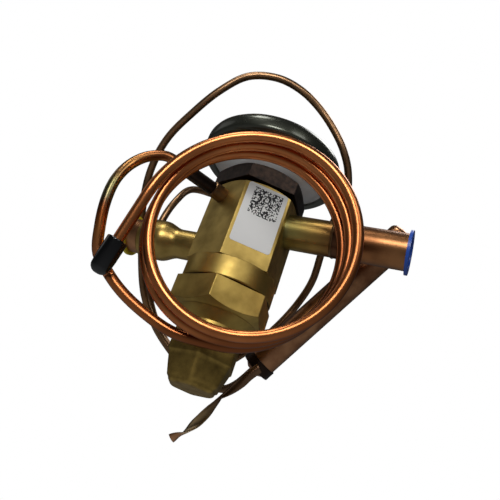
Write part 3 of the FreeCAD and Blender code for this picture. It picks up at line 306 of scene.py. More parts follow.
FINISH_LIST: tuple[Finish, ...] = (
    # machined cartridge brass, handled, with a slightly uneven sheen
    Finish(
        "machined_brass", "#BC9F56", 1.0, 0.42, 0.6, 11.0, "#705A2A", 0.12, (9.0, 9.0, 0.35), 0.5
    ),
    # the same brass on the body, with a thin band of painted shade in the parting line at its foot, where
    # the plug's top shades it
    Finish(
        "body_brass", "#C0A45C", 1.0, 0.42, 0.6, 11.0, "#705A2A", 0.12, (9.0, 9.0, 0.35), 0.5,
        bands=(
            # the two darkest stops are painted shade in the parting line
            (56.5, "#1E1206"), (57.0, "#2E1C0A"), (57.4, "#B89C54"), (70.0, "#C0A45C"), (123.0, "#C8AC64"),
        ),
    ),
    # turned brass of the spigots, marks run round the axis
    Finish(
        "turned_brass", "#BC9E5A", 1.0, 0.34, 0.5, 8.0, "#7A6430", 0.10, (0.35, 6.0, 6.0), 0.3
    ),
    # hot forged brass of the cap, duller and grainy
    Finish(
        "forged_brass", "#B2944E", 1.0, 0.44, 0.6, 4.0, "#66502A", 0.0, edge_mm=0.8, bump=0.35, bump_mm=0.7
    ),
    # drawn copper tube, bright in front, with painted shade darkening the turns that lie behind, where the
    # front turn shades them
    Finish(
        "drawn_copper", "#D2844F", 1.0, 0.27, 0.45, 22.0, "#7E3C1E", band_axis=1,
        # bands along Y: the darker stops are painted shade on the back turns
        bands=((-60.0, "#D2844F"), (-37.0, "#CC7F4B"), (-33.0, "#9A5C36"), (-24.0, "#84502E")),
    ),
    # the same tube where the torch has coloured it, near its fitting
    Finish(
        "tinted_copper", "#C97E54", 1.0, 0.27, 0.35, 14.0, "#5A3420",
        bands=(
            (40.0, "#C97E54"), (54.0, "#CC8448"), (63.0, "#B4622E"), (70.0, "#63402A"), (74.0, "#646048"),
            (84.0, "#827C52"), (92.0, "#A67A4C"), (101.0, "#C58D52"), (113.0, "#A4683E"),
        ),
    ),
    # the outlet's brass spigot: greenish flux at its root, browner toward the joint
    Finish(
        "outlet_brass", "#C2AC70", 1.0, 0.33, 0.35, 6.0, "#6E5534", band_axis=0,
        bands=((24.0, "#7E845E"), (29.0, "#A99A58"), (43.0, "#B08E4C"), (55.0, "#8A6036")),
    ),
    # the outlet's copper tube: dark beside the joint, cleaner toward its end
    Finish(
        "outlet_copper", "#B98760", 1.0, 0.30, 0.6, 14.0, "#5B3A24", 0.12, (9.0, 0.4, 0.4), 0.3, band_axis=0,
        bands=((55.0, "#5E4230"), (62.0, "#70462C"), (70.0, "#94603A"), (97.0, "#B07C50")),
    ),
    # copper of the bulb and the tube ends, a little browner
    Finish(
        "bulb_copper", "#B98760", 1.0, 0.30, 0.8, 9.0, "#6B3A22", 0.12, (0.4, 0.4, 9.0), 0.3
    ),
    # capillary, dull browned copper
    Finish("dull_copper", "#9C7856", 1.0, 0.33, 0.75, 16.0, "#3E3026"),
    # head of the element, dark grey with a gloss
    Finish(
        "dark_head", "#4A4C42", 0.8, 0.26, 0.3, 20.0, "#30322C", edge_mm=0.4, coat=0.3
    ),
    # underside of the element, painted near white as a painted reflection of glare on its steel
    Finish("bright_shell", "#F2F2F0", 0.35, 0.35),
    # nut of the element, dark browned steel
    Finish(
        "browned_steel", "#33241A", 0.7, 0.34, 0.9, 3.0, "#0D0807", edge_mm=0.5, bump=0.2, bump_mm=1.2
    ),
    # plain steel of the inner pieces
    Finish("plain_steel", "#B8B8B6", 1.0, 0.3),
    # strap, browned steel strip
    Finish("strap_steel", "#3A2B22", 0.9, 0.34, 0.5, 6.0, "#15100D"),
    # the strap's free tail, browned by heat with a copper cut tip; a painted highlight on the face-on run
    # just above the tip and painted shade on the edge-on run in its middle
    Finish(
        "strap_brown", "#8A6848", 1.0, 0.30, 0.35, 6.0, "#3E2C20",
        bands=(
            # the pale stops above the tip are a painted highlight; the dark stop in the middle is painted
            # shade
            (-23.5, "#D09A70"), (-19.5, "#C08A60"), (-17.0, "#F0D4A8"), (-7.0, "#C8A878"),
            (8.0, "#6A4E3A"), (22.0, "#8A6A50"),
        ),
    ),
    # braze, pale flowed alloy
    Finish("braze_alloy", "#8E6E4C", 1.0, 0.36, 0.5, 5.0, "#4A3626"),
    # rubber of the end cap, black with a soft shine
    Finish("black_rubber", "#050506", 0.0, 0.16, coat=0.3),
    # gaskets and packings
    Finish("dull_rubber", "#1B1A19", 0.0, 0.7),
    # transport plugs
    Finish("blue_plastic", "#1E50B4", 0.0, 0.38, coat=0.1),
    Finish("yellow_plastic", "#E8D21C", 0.0, 0.4, coat=0.1),
    # label, white film, and its dark print
    Finish("label_film", "#E9E9E6", 0.0, 0.42, 0.12, 12.0, "#D2D2D0"),
    Finish("label_ink", "#1C1C1E", 0.0, 0.5),
)

FINISHES: dict[str, Finish] = {finish.name: finish for finish in FINISH_LIST}

# which solids wear which finish
FINISH_NODES: dict[str, tuple[str, ...]] = {
    "body_brass": ("valve_body",),
    "machined_brass": ("bottom_plug",),
    "turned_brass": ("gland_nut", "spring_seat", "pin_carrier", "diaphragm_pad", "inlet_spigot"),
    "forged_brass": ("seal_cap",),
    "outlet_brass": ("outlet_spigot",),
    "outlet_copper": ("outlet_tube",),
    "bulb_copper": ("inlet_tube", "sensing_bulb"),
    "drawn_copper": ("equaliser_tube",),
    "dull_copper": ("cap_gasket", "capillary_ferrule", "capillary_tube"),
    "braze_alloy": ("outlet_braze", "inlet_braze", "equaliser_stub"),
    "plain_steel": (
        "adjusting_stem",
        "superheat_spring",
        "valve_pin",
        "push_rod_back",
        "push_rod_front",
        "orifice_seat",
        "diaphragm",
    ),
    "bright_shell": ("lower_shell",),
    "dark_head": ("upper_shell",),
    "browned_steel": ("element_nut", "equaliser_sleeve"),
    "strap_steel": ("bulb_strap",),
    "black_rubber": ("equaliser_end_cap",),
    "dull_rubber": ("plug_seal_ring", "stem_packing", "element_gasket"),
    "blue_plastic": ("outlet_plug",),
    "yellow_plastic": ("inlet_plug",),
    "label_film": ("label",),
}


def linear(colour: str) -> tuple[float, float, float, float]:
    """Turn an sRGB hex colour into linear RGBA.

    Args:
        colour: A colour such as "#D9B25F".

    Returns:
        Four linear values.
    """
    parts = [int(colour[i : i + 2], 16) / 255 for i in (1, 3, 5)]
    values = [p / 12.92 if p <= 0.04045 else ((p + 0.055) / 1.055) ** 2.4 for p in parts]
    return (values[0], values[1], values[2], 1.0)


def add_node(tree: bpy.types.NodeTree, kind: str, **values: object) -> bpy.types.Node:
    """Add one shader node and set its properties and inputs.

    Args:
        tree: The material's node tree.
        kind: The node's Blender type.
        values: Inputs by name with spaces as underscores, or plain properties.

    Returns:
        The new node.
    """
    node = tree.nodes.new(kind)
    for name, value in values.items():
        socket = name.replace("_", " ")
        if socket in node.inputs:
            node.inputs[socket].default_value = value
        else:
            setattr(node, name, value)
    return node


class MaterialShop:
    """Makes each finish once and hands it out."""

    def __init__(self) -> None:
        """Start with no materials made."""
        self._made: dict[str, bpy.types.Material] = {}

    def get(self, name: str) -> bpy.types.Material:
        """Return the material of a finish, making it when it is first asked for.

        Args:
            name: A key of FINISHES.

        Returns:
            The material.
        """
        if name not in self._made:
            self._made[name] = self._make(FINISHES[name])
        return self._made[name]

    def _make(self, finish: Finish) -> bpy.types.Material:
        """Build one finish as a node material.

        Args:
            finish: The finish to build.

        Returns:
            The material.
        """
        material = bpy.data.materials.new(finish.name)
        material.use_nodes = True
        tree = material.node_tree
        shader = tree.nodes["Principled BSDF"]
        shader.inputs["Base Color"].default_value = linear(finish.colour)
        shader.inputs["Metallic"].default_value = finish.metallic
        shader.inputs["Roughness"].default_value = finish.roughness
        shader.inputs["Coat Weight"].default_value = finish.coat
        place = add_node(tree, "ShaderNodeTexCoord")
        ground = self._banded(tree, place, finish) if finish.bands else None
        if finish.mottle:
            self._mottle(tree, shader, place, finish, ground)
        normal = self._bumps(tree, place, finish)
        if normal is not None:
            tree.links.new(normal, shader.inputs["Normal"])
        return material

    def _banded(
        self, tree: bpy.types.NodeTree, place: bpy.types.Node, finish: Finish
    ) -> bpy.types.NodeSocket:
        """Run the finish's colour bands along one axis of the valve: heat tint and stains, and on some
        finishes painted shade and painted highlight.

        Args:
            tree: The material's node tree.
            place: The coordinate node.
            finish: The finish, whose bands are pairs of a place in millimetres and a colour.

        Returns:
            The socket that carries the colour.
        """
        first, last = finish.bands[0][0], finish.bands[-1][0]
        split = add_node(tree, "ShaderNodeSeparateXYZ")
        tree.links.new(place.outputs["Object"], split.inputs["Vector"])
        share = add_node(tree, "ShaderNodeMapRange", From_Min=first * MM, From_Max=last * MM)
        tree.links.new(split.outputs[finish.band_axis], share.inputs["Value"])
        ramp = add_node(tree, "ShaderNodeValToRGB")
        stops = ramp.color_ramp.elements
        while len(stops) < len(finish.bands):
            stops.new(1.0)
        for stop, (height, colour) in zip(stops, finish.bands):
            stop.position = (height - first) / (last - first)
            stop.color = linear(colour)
        tree.links.new(share.outputs["Result"], ramp.inputs["Fac"])
        return ramp.outputs["Color"]

    def _mottle(
        self,
        tree: bpy.types.NodeTree,
        shader: bpy.types.Node,
        place: bpy.types.Node,
        finish: Finish,
        ground: bpy.types.NodeSocket | None = None,
    ) -> None:
        """Mix a second colour in by soft noise, and let roughness follow it.

        Args:
            tree: The material's node tree.
            shader: The surface shader.
            place: The coordinate node.
            finish: The finish.
            ground: The colour to mottle, where it isn't the finish's own.
        """
        noise = add_node(tree, "ShaderNodeTexNoise", Scale=1 / (finish.mottle_mm * MM), Detail=4.0)
        tree.links.new(place.outputs["Object"], noise.inputs["Vector"])
        low, high = MOTTLE_SPAN
        spread = add_node(tree, "ShaderNodeMapRange", From_Min=low, From_Max=high, To_Max=finish.mottle)
        tree.links.new(noise.outputs["Fac"], spread.inputs["Value"])
        mix = add_node(tree, "ShaderNodeMix", data_type="RGBA")
        if ground is None:
            mix.inputs[6].default_value = linear(finish.colour)
        else:
            tree.links.new(ground, mix.inputs[6])
        mix.inputs[7].default_value = linear(finish.mottle_colour)
        tree.links.new(spread.outputs["Result"], mix.inputs[0])
        tree.links.new(mix.outputs[2], shader.inputs["Base Color"])
        smooth, coarse = (finish.roughness * swing for swing in ROUGHNESS_SWING)
        rough = add_node(tree, "ShaderNodeMapRange", To_Min=smooth, To_Max=coarse)
        tree.links.new(noise.outputs["Fac"], rough.inputs["Value"])
        tree.links.new(rough.outputs["Result"], shader.inputs["Roughness"])

    def _bumps(
        self, tree: bpy.types.NodeTree, place: bpy.types.Node, finish: Finish
    ) -> bpy.types.NodeSocket | None:
        """Add soft edges, tool marks and grain to the surface's normal.

        Args:
            tree: The material's node tree.
            place: The coordinate node.
            finish: The finish.

        Returns:
            The socket that carries the normal, or nothing where the finish is smooth.
        """
        normal = None
        if finish.edge_mm:
            bevel = add_node(tree, "ShaderNodeBevel", samples=6, Radius=finish.edge_mm * MM)
            normal = bevel.outputs["Normal"]
        if finish.scratch:
            scale = add_node(tree, "ShaderNodeVectorMath", operation="MULTIPLY")
            scale.inputs[1].default_value = tuple(1 / (s * MM) for s in finish.scratch_mm)
            tree.links.new(place.outputs["Object"], scale.inputs[0])
            marks = add_node(tree, "ShaderNodeTexNoise", Scale=1.0, Detail=2.0)
            tree.links.new(scale.outputs["Vector"], marks.inputs["Vector"])
            normal = self._bump(tree, marks.outputs["Fac"], finish.scratch, MARK_DEPTH, normal)
        if finish.bump:
            grain = add_node(tree, "ShaderNodeTexNoise", Scale=1 / (finish.bump_mm * MM), Detail=3.0)
            tree.links.new(place.outputs["Object"], grain.inputs["Vector"])
            normal = self._bump(tree, grain.outputs["Fac"], finish.bump, GRAIN_DEPTH, normal)
        return normal

    @staticmethod
    def _bump(
        tree: bpy.types.NodeTree,
        height: bpy.types.NodeSocket,
        strength: float,
        depth_mm: float,
        normal: bpy.types.NodeSocket | None,
    ) -> bpy.types.NodeSocket:
        """Add one bump on top of the normal so far.

        Args:
            tree: The material's node tree.
            height: The height pattern.
            strength: How strongly it shows.
            depth_mm: The pattern's depth.
            normal: The normal so far.

        Returns:
            The new normal's socket.
        """
        bump = add_node(tree, "ShaderNodeBump", Strength=strength, Distance=depth_mm * MM)
        tree.links.new(height, bump.inputs["Height"])
        if normal is not None:
            tree.links.new(normal, bump.inputs["Normal"])
        return bump.outputs["Normal"]


def smooth_path(points: np.ndarray, step: float) -> np.ndarray:
    """Run a centripetal Catmull-Rom curve through points and space it evenly.

    Between p1 and p2 the curve is the cubic Hermite with tangents that weigh the neighbouring
    chords by the square root of their lengths, so tight and long runs both stay round.

    Args:
        points: Guide points in millimetres.
        step: Distance between the samples in millimetres.

    Returns:
        Evenly spaced points in millimetres.
    """
    padded = np.vstack([2 * points[0] - points[1], points, 2 * points[-1] - points[-2]])
    chords = np.linalg.norm(np.diff(padded, axis=0), axis=1) ** 0.5
    samples = []
    for i in range(1, len(padded) - 2):
        before, here, after = chords[i - 1], chords[i], chords[i + 1]
        p0, p1, p2, p3 = padded[i - 1 : i + 3]
        tangent_1 = ((p1 - p0) / before - (p2 - p0) / (before + here) + (p2 - p1) / here) * here
        tangent_2 = ((p2 - p1) / here - (p3 - p1) / (here + after) + (p3 - p2) / after) * here
        s = np.linspace(0, 1, PATH_SAMPLES, endpoint=False)[:, None]
        samples.append(
            (2 * s**3 - 3 * s**2 + 1) * p1
            + (s**3 - 2 * s**2 + s) * tangent_1
            + (3 * s**2 - 2 * s**3) * p2
            + (s**3 - s**2) * tangent_2
        )
    fine = np.vstack(samples + [points[-1:]])
    lengths = np.r_[0, np.cumsum(np.linalg.norm(np.diff(fine, axis=0), axis=1))]
    count = max(2, round(lengths[-1] / step))
    wanted = np.linspace(0, lengths[-1], count + 1)
    return np.stack([np.interp(wanted, lengths, fine[:, k]) for k in range(3)], axis=1)


def carried_frames(path: np.ndarray, side: np.ndarray) -> tuple[np.ndarray, np.ndarray, np.ndarray]:
    """Carry a side direction along a path without letting it spin.

    Args:
        path: Points along the path.
        side: A direction that is not along the path's start.

    Returns:
        Tangents, side directions and the directions square to both.
    """
    tangents = np.gradient(path, axis=0)
    tangents /= np.linalg.norm(tangents, axis=1)[:, None]
    sides = np.empty_like(path)
    for i, tangent in enumerate(tangents):
        side = side - tangent * float(side @ tangent)
        side = side / np.linalg.norm(side)
        sides[i] = side
    return tangents, sides, np.cross(tangents, sides)


def mesh_object(name: str, vertices: np.ndarray, faces: list[tuple[int, ...]]) -> bpy.types.Object:
    """Make a smooth-shaded mesh object from points in millimetres.

    Args:
        name: The object's name.
        vertices: Points in millimetres.
        faces: Faces as tuples of point numbers.

    Returns:
        The object, linked to the scene.
    """
    mesh = bpy.data.meshes.new(name)
    mesh.from_pydata((np.asarray(vertices) * MM).tolist(), [], faces)
    mesh.shade_smooth()
    mesh.update()
    made = bpy.data.objects.new(name, mesh)
    bpy.context.scene.collection.objects.link(made)
    return made


def grid_faces(rows: int, columns: int) -> list[tuple[int, ...]]:
    """Return the quads of a grid of points whose rows are closed rings.

    Args:
        rows: Number of rings.
        columns: Points in a ring.

    Returns:
        Quads as tuples of point numbers.
    """
    faces: list[tuple[int, ...]] = []
    for here in range(0, (rows - 1) * columns, columns):
        ahead = here + columns
        for c in range(columns):
            d = (c + 1) % columns
            faces.append((here + c, here + d, ahead + d, ahead + c))
    return faces


def closed_faces(rows: int, columns: int) -> list[tuple[int, ...]]:
    """Return the quads of a run of rings and one face over each end.

    Args:
        rows: Number of rings.
        columns: Points in a ring.

    Returns:
        Faces as tuples of point numbers.
    """
    first = tuple(range(columns - 1, -1, -1))
    last = tuple(range((rows - 1) * columns, rows * columns))
    return [*grid_faces(rows, columns), first, last]


def sweep_ring(name: str, path: np.ndarray, radius: float, around: int) -> bpy.types.Object:
    """Sweep a circle along a path and close both ends.

    Args:
        name: The object's name.
        path: Points of the centre line in millimetres.
        radius: The circle's radius.
        around: Points round the circle.

    Returns:
        The tube as an object.
    """
    _, sides, ups = carried_frames(path, np.array(SWEEP_SIDE))
    angles = np.linspace(0, 2 * math.pi, around, endpoint=False)[None, :, None]
    rings = path[:, None] + radius * (np.cos(angles) * sides[:, None] + np.sin(angles) * ups[:, None])
    return mesh_object(name, rings.reshape(-1, 3), closed_faces(len(path), around))


def lathe(
    name: str,
    profile: Sequence[Corner],
    origin: Sequence[float],
    axis: Sequence[float],
    around: int,
) -> bpy.types.Object:
    """Turn a profile of (radius, distance along the axis) round an axis.

    Args:
        name: The object's name.
        profile: Pairs of radius and distance in millimetres; a radius of 0 closes the end.
        origin: Where distance 0 lies, in millimetres.
        axis: The direction of growing distance.
        around: Points round the axis.

    Returns:
        The turned piece.
    """
    ahead = np.array(axis, float) / np.linalg.norm(axis)
    side = np.cross(ahead, LATHE_SIDE)
    side /= np.linalg.norm(side)
    other = np.cross(ahead, side)
    angles = np.linspace(0, 2 * math.pi, around, endpoint=False)
    spokes = np.cos(angles)[:, None] * side + np.sin(angles)[:, None] * other
    rings = [np.array(origin) + max(r, 0.001) * spokes + z * ahead for r, z in profile]
    return mesh_object(name, np.vstack(rings), grid_faces(len(rings), around))


def corner_round(before: Corner, corner: Corner, after: Corner, radius: float) -> list[Corner]:
    """Return points on the arc that rounds one corner of a profile.

    The arc touches both sides at radius / tan(half the inner angle) from the corner.

    Args:
        before: The point before the corner.
        corner: The corner.
        after: The point after the corner.
        radius: The arc's radius.

    Returns:
        The arc's points, from the first side to the second.
    """
    here = np.array(corner)
    to_before = (np.array(before) - here) / np.linalg.norm(np.array(before) - here)
    to_after = (np.array(after) - here) / np.linalg.norm(np.array(after) - here)
    half = math.acos(float(np.clip(to_before @ to_after, -1, 1))) / 2
    reach = radius / math.tan(half)
    inward = (to_before + to_after) / np.linalg.norm(to_before + to_after)
    middle = here + inward * radius / math.sin(half)
    first, last = here + to_before * reach - middle, here + to_after * reach - middle
    arc = []
    for share in np.linspace(0, 1, ARC_POINTS):
        spoke = first * (1 - share) + last * share
        arc.append(tuple(middle + spoke / np.linalg.norm(spoke) * radius))
    return arc


def rounded(points: Sequence[Corner], radii: dict[int, float]) -> list[Corner]:
    """Round the chosen corners of a profile.

    Args:
        points: The profile's corners.
        radii: The radius for each corner by its number; the other corners stay.

    Returns:
        The profile with arcs in it.
    """
    made: list[Corner] = []
    for i, point in enumerate(points):
        if i in radii:
            made.extend(corner_round(points[i - 1], point, points[(i + 1) % len(points)], radii[i]))
        else:
            made.append(point)
    return made


class Part:
    """A group of pieces that hang together: it makes them, paints them and seats them."""

    def __init__(self, shop: MaterialShop, detail: Detail) -> None:
        """Keep the material shop and the detail to build at.

        Args:
            shop: Where finishes come from.
            detail: How finely to divide curves.
        """
        self.shop = shop
        self.detail = detail

    def around(self, full: int) -> int:
        """Return how many points to put round a piece.

        Args:
            full: The number at full detail.

        Returns:
            The number at this detail.
        """
        return max(12, round(full * self.detail.value))

    def seat(self, piece: bpy.types.Object, finish: str, body: str, *nodes: str, slot: str) -> None:
        """Paint a piece, let it ride on a body and put it in place of solids.

        Args:
            piece: The piece.
            finish: The finish's name.
            body: The body it rides on.
            nodes: The solids it stands for.
            slot: Not used.
        """
        piece.data.materials.append(self.shop.get(finish))
        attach(piece, body)
        if nodes:
            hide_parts(*nodes)


@dataclass(frozen=True)
class RubberCap:
    """Sizes of the end cap, in millimetres; each corner is a radius and a distance."""

    grip: float = 16.0
    corners: tuple[Corner, ...] = (
        (3.25, 2.0),
        (3.25, 0.0),
        (5.875, 0.0),
        (5.8, 11.0),
        (5.2, 21.0),
        (0.0, 21.0),
    )
    mouth_round: float = 0.9
    tip_round: float = 4.6


class BentTubes(Part):
    """The equaliser tube with its rubber cap, and the capillary."""

    def build(self) -> None:
        """Build both tubes and the cap."""
        tube, thin = EqualiserTube(), CapillaryTube()
        path = smooth_path(tube.points(), tube.step)
        cut = int(np.argmin(np.linalg.norm(path - np.array(tube.split_at), axis=1)))
        coil = sweep_ring("equaliser_coil", path[: cut + 1], tube.radius, self.around(20))
        self.seat(coil, "drawn_copper", "valve", "equaliser_tube", slot="equaliser_copper")
        loop = sweep_ring("equaliser_loop", path[cut:], tube.radius, self.around(20))
        self.seat(loop, "tinted_copper", "valve", slot="equaliser_copper")
        route = smooth_path(np.array(thin.route), thin.step)
        line = sweep_ring("capillary_line", route, thin.radius, self.around(16))
        self.seat(line, "dull_copper", "valve", "capillary_tube", slot="capillary_steel")
        self.build_cap(tube.coil)

    def build_cap(self, coil: CoilShape) -> None:
        """Build the soft rubber cap on the free end, with a rounded tip and a rolled mouth.

        Args:
            coil: The coil whose free end the cap closes.
        """
        size = RubberCap()
        along = coil.free_direction()
        mouth = coil.point(coil.start) + along * (coil.free_length - size.grip)
        profile = rounded(size.corners, {2: size.mouth_round, 4: size.tip_round})
        cap = lathe("rubber_cap", profile, mouth, along, self.around(48))
        self.seat(
            cap, "black_rubber", "equaliser_end_cap", "equaliser_end_cap", slot="end_cap_rubber"
        )


@dataclass(frozen=True)
class HeadSizes:
    """Sizes of the power element's shells, in millimetres."""

    lap: float = 39.5
    bottom: float = 147.6
    side: float = 45.9
    top: float = 162.0
    rim: float = 149.2
    crown_foot: float = 18.0
    crown_edge: float = 12.0
    crown_top: float = 164.2
    hole: float = 1.3
    foot: float = 135.25
    throat: float = 14.5
    dish_foot: float = 19.5
    knee: float = 37.5
    dish_edge: float = 43.5


class Head(Part):
    """The power element: rolled dark cover and dished underside painted near white as a painted glare
    reflection.
    """

    def build(self) -> None:
        """Build both shells as smooth turned sheet."""
        size = HeadSizes()
        cover = rounded(
            [
                (size.lap, size.rim),
                (size.lap, size.bottom),
                (size.side, size.bottom),
                (size.side, size.top),
                (size.crown_foot, size.top),
                (size.crown_edge, size.crown_top),
                (size.hole, size.crown_top),
            ],
            {1: 0.8, 2: 3.4, 3: 6.9, 4: 9.0, 5: 5.0},
        )
        top = lathe("head_cover", cover, CENTRE, UPWARD, self.around(128))
        self.seat(top, "dark_head", "valve", "upper_shell", slot="upper_shell_steel")
        dish = rounded(
            [
                (size.throat, size.foot),
                (size.dish_foot, size.foot),
                (size.knee, size.rim),
                (size.dish_edge, size.rim),
            ],
            {1: 2.5, 2: 5.0},
        )
        under = lathe("head_dish", dish, CENTRE, UPWARD, self.around(128))
        # the underside's near-white finish is a painted glare reflection
        self.seat(under, "bright_shell", "valve", "lower_shell", slot="lower_shell_steel")


@dataclass(frozen=True)
class CapSizes:
    """Sizes of the forged seal cap, in millimetres, and how sharp its corners are."""

    flats: float = 37.0
    taper_flats: float = 35.4
    end_flats: float = 26.9
    end_inset: float = 3.0
    end_rise: float = 2.6
    end_centre_flats: float = 14.3
    reach: float = 2.0
    taper: float = 13.8
    height: float = 31.0
    turn: float = 14.0
    cavity: float = 13.6
    bevel_out: float = 19.9
    bevel_in: float = 18.3
    soft: float = 14.0
    sharp: float = 46.0


class ForgedCap(Part):
    """The forged seal cap: a hexagon that melts into a smaller rounded end."""

    def ring(self, flats: float, height: float, sharpness: float, round_limit: float) -> np.ndarray:
        """Return one six-sided section with soft corners.

        The radius at an angle is half the flats divided by the p-norm of the cosines to the six
        flats: a large p keeps the corners sharp.  No radius passes round_limit.

        Args:
            flats: Width across flats.
            height: Height of the section.
            sharpness: The p of the norm.
            round_limit: The largest radius.

        Returns:
            Points of the section.
        """
        around = self.around(144)
        angles = np.linspace(0, 2 * math.pi, around, endpoint=False)
        turn = math.radians(CapSizes().turn)
        total = np.zeros(around)
        for side in range(6):
            total += np.maximum(0.0, np.cos(angles - turn - side * math.pi / 3)) ** sharpness
        radius = np.minimum(flats / 2 / total ** (1 / sharpness), round_limit)
        heights = np.full(around, height)
        return np.stack([radius * np.cos(angles), radius * np.sin(angles), heights], axis=1)

    def build(self) -> None:
        """Stack sections from the rounded end up to the bevelled mouth."""
        size = CapSizes()
        full = size.flats / math.sqrt(3)
        foot = -size.reach
        rings = [np.repeat([[0.0, 0.0, foot]], self.around(144), axis=0)]
        rings.append(self.ring(size.end_centre_flats, foot, 12, full))
        for share in np.linspace(0, 1, 7):
            swing = share * math.pi / 2
            inset = size.end_inset * (1 - math.sin(swing))
            height = foot + size.end_rise * (1 - math.cos(swing))
            rings.append(self.ring(size.end_flats - 2 * inset, height, size.soft, full))
        for share in np.linspace(0.22, 1, 8):
            flats = size.end_flats + (size.taper_flats - size.end_flats) * share**0.95
            height = foot + (size.taper * 0.985 - foot) * share
            rings.append(self.ring(flats, height, size.soft + 20 * share, full))
        rings.append(self.ring(size.flats - 0.5, size.taper + 0.2, 40, full))
        for height, limit in (
            (size.taper + 0.9, full),
            (size.height - 2.2, full),
            (size.height - 1.4, size.bevel_out),
            (size.height, size.bevel_in),
            (size.height, size.cavity),
        ):
            rings.append(self.ring(size.flats, height, size.sharp, limit))
        faces = grid_faces(len(rings), self.around(144))
        cap = mesh_object("forged_cap", np.vstack(rings), faces)
        self.seat(cap, "forged_brass", "seal_cap", "seal_cap", slot="cap_brass")


@dataclass(frozen=True)
class InletShape:
    """Sizes of the inlet spigot, in millimetres; distances run out from the valve's axis."""

    height: float = 84.3
    root: float = 21.0
    neck: float = 9.4
    cup: float = 12.9
    flare_start: float = 40.0
    flare_length: float = 12.0
    lip: tuple[Corner, ...] = ((12.9, 65.3), (12.5, 66.0), (10.9, 64.6), (10.9, 60.0))


@dataclass(frozen=True)
class BulbShape:
    """The sensing bulb, in millimetres: where it starts, where it points and its profile."""

    foot: Point = (14.1, 56.0, 32.2)
    aim: Point = (93.5, 30.0, 139.8)
    corners: tuple[Corner, ...] = (
        (2.3, -0.2),
        (4.6, -0.2),
        (9.525, 3.4),
        (9.525, 132.0),
        (0.0, 132.0),
    )

    def axis(self) -> np.ndarray:
        """Return the direction from the foot to the far end.

        Returns:
            A unit vector.
        """
        along = np.array(self.aim) - np.array(self.foot)
        return along / np.linalg.norm(along)


@dataclass(frozen=True)
class StrapShape:
    """The strap, in millimetres: a band round the bulb, and the tail's guide points and twist."""

    band: tuple[Corner, ...] = ((9.5, 2.4), (10.325, 2.4), (10.325, 8.9), (9.5, 8.9))
    band_round: float = 0.25
    root_along: float = 5.65
    root_out: float = 10.2
    root_side: Point = (0.3, -0.8, -0.5)
    tail: tuple[Point, ...] = (
        (16.1, 46.5, 26.3),
        (11.8, 47.5, 20.5),
        (6.5, 49.0, 15.1),
        (1.7, 50.5, 10.0),
        (-2.6, 52.0, 3.7),
        (-5.8, 52.5, -3.1),
        (-9.5, 53.0, -10.0),
        (-13.6, 53.3, -15.8),
        (-17.9, 53.6, -19.4),
        (-22.1, 54.0, -23.0),
    )
    twists: tuple[float, ...] = (0.0, 12.0, 45.0, 100.0, 150.0, 200.0, 270.0, 345.0)
    half: float = 3.1
    crown: float = 1.3
    thick: float = 0.8
    step: float = 0.8

    def section(self) -> list[Corner]:
        """Return the tail's section: a strip whose middle stands up by a parabola.

        Returns:
            Places across the strip and out of its plane, once round.
        """
        across = np.linspace(-1, 1, 7)
        line = [(a * self.half, self.crown * (0.5 - a * a)) for a in across]
        upper = [(a, b + self.thick / 2) for a, b in line]
        return upper + [(a, b - self.thick / 2) for a, b in line[::-1]]


class Connections(Part):
    """The flared inlet, the sensing bulb and its strap."""

    def build(self) -> None:
        """Build each piece."""
        bulb = BulbShape()
        self.build_inlet()
        self.build_bulb(bulb)
        self.build_band(bulb)
        self.build_tail(bulb)

    def build_inlet(self) -> None:
        """Build the inlet spigot with its gradual S-shaped flare.

        Between the neck and the cup the radius follows a smooth step 3 s^2 - 2 s^3.
        """
        size = InletShape()
        steps = np.linspace(0, 1, 14)
        radii = size.neck + (size.cup - size.neck) * (3 * steps**2 - 2 * steps**3)
        places = size.flare_start + size.flare_length * steps
        profile = [(size.neck, size.root), *zip(radii, places), *size.lip]
        spigot = lathe("inlet_flare", profile, (0, 0, size.height), (-1, 0, 0), self.around(72))
        self.seat(spigot, "turned_brass", "valve", "inlet_spigot", slot="inlet_spigot_brass")

    def build_bulb(self, shape: BulbShape) -> None:
        """Build the sensing bulb with spun-in ends.

        Args:
            shape: The bulb's place and profile.
        """
        profile = rounded(shape.corners, {1: 0.6, 2: 2.6, 3: 3.6})
        bulb = lathe("bulb_tube", profile, shape.foot, shape.axis(), self.around(64))
        self.seat(bulb, "bulb_copper", "valve", "sensing_bulb", slot="bulb_copper")

    def build_band(self, bulb: BulbShape) -> None:
        """Build the strap's flat band round the bulb.

        Args:
            bulb: The bulb it holds.
        """
        strap = StrapShape()
        profile = rounded(strap.band, {1: strap.band_round, 2: strap.band_round})
        band = lathe("strap_band", profile, bulb.foot, bulb.axis(), self.around(64))
        self.seat(band, "strap_steel", "valve", "bulb_strap", slot="strap_steel")

    def build_tail(self, bulb: BulbShape) -> None:
        """Build the strap's twisted tail with its copper tip, painted highlight and painted shade.

        Args:
            bulb: The bulb whose foot the tail leaves.
        """
        strap, axis = StrapShape(), bulb.axis()
        side = np.array(strap.root_side)
        side -= axis * (side @ axis)
        side /= np.linalg.norm(side)
        root = np.array(bulb.foot) + axis * strap.root_along + side * strap.root_out
        path = smooth_path(np.array([root, *strap.tail]), strap.step)
        share = np.linspace(0, 1, len(path))
        spin = np.radians(np.interp(share, np.linspace(0, 1, len(strap.twists)), strap.twists))
        tangents, flats, squares = carried_frames(path, side)
        up = np.cos(spin)[:, None] * flats + np.sin(spin)[:, None] * squares
        level = np.cross(up, tangents)
        rings = np.stack([path + level * a + up * b for a, b in strap.section()], axis=1)
        tail = mesh_object("strap_tail", rings.reshape(-1, 3), closed_faces(*rings.shape[:2]))
        self.seat(tail, "strap_brown", "valve", slot="strap_steel")


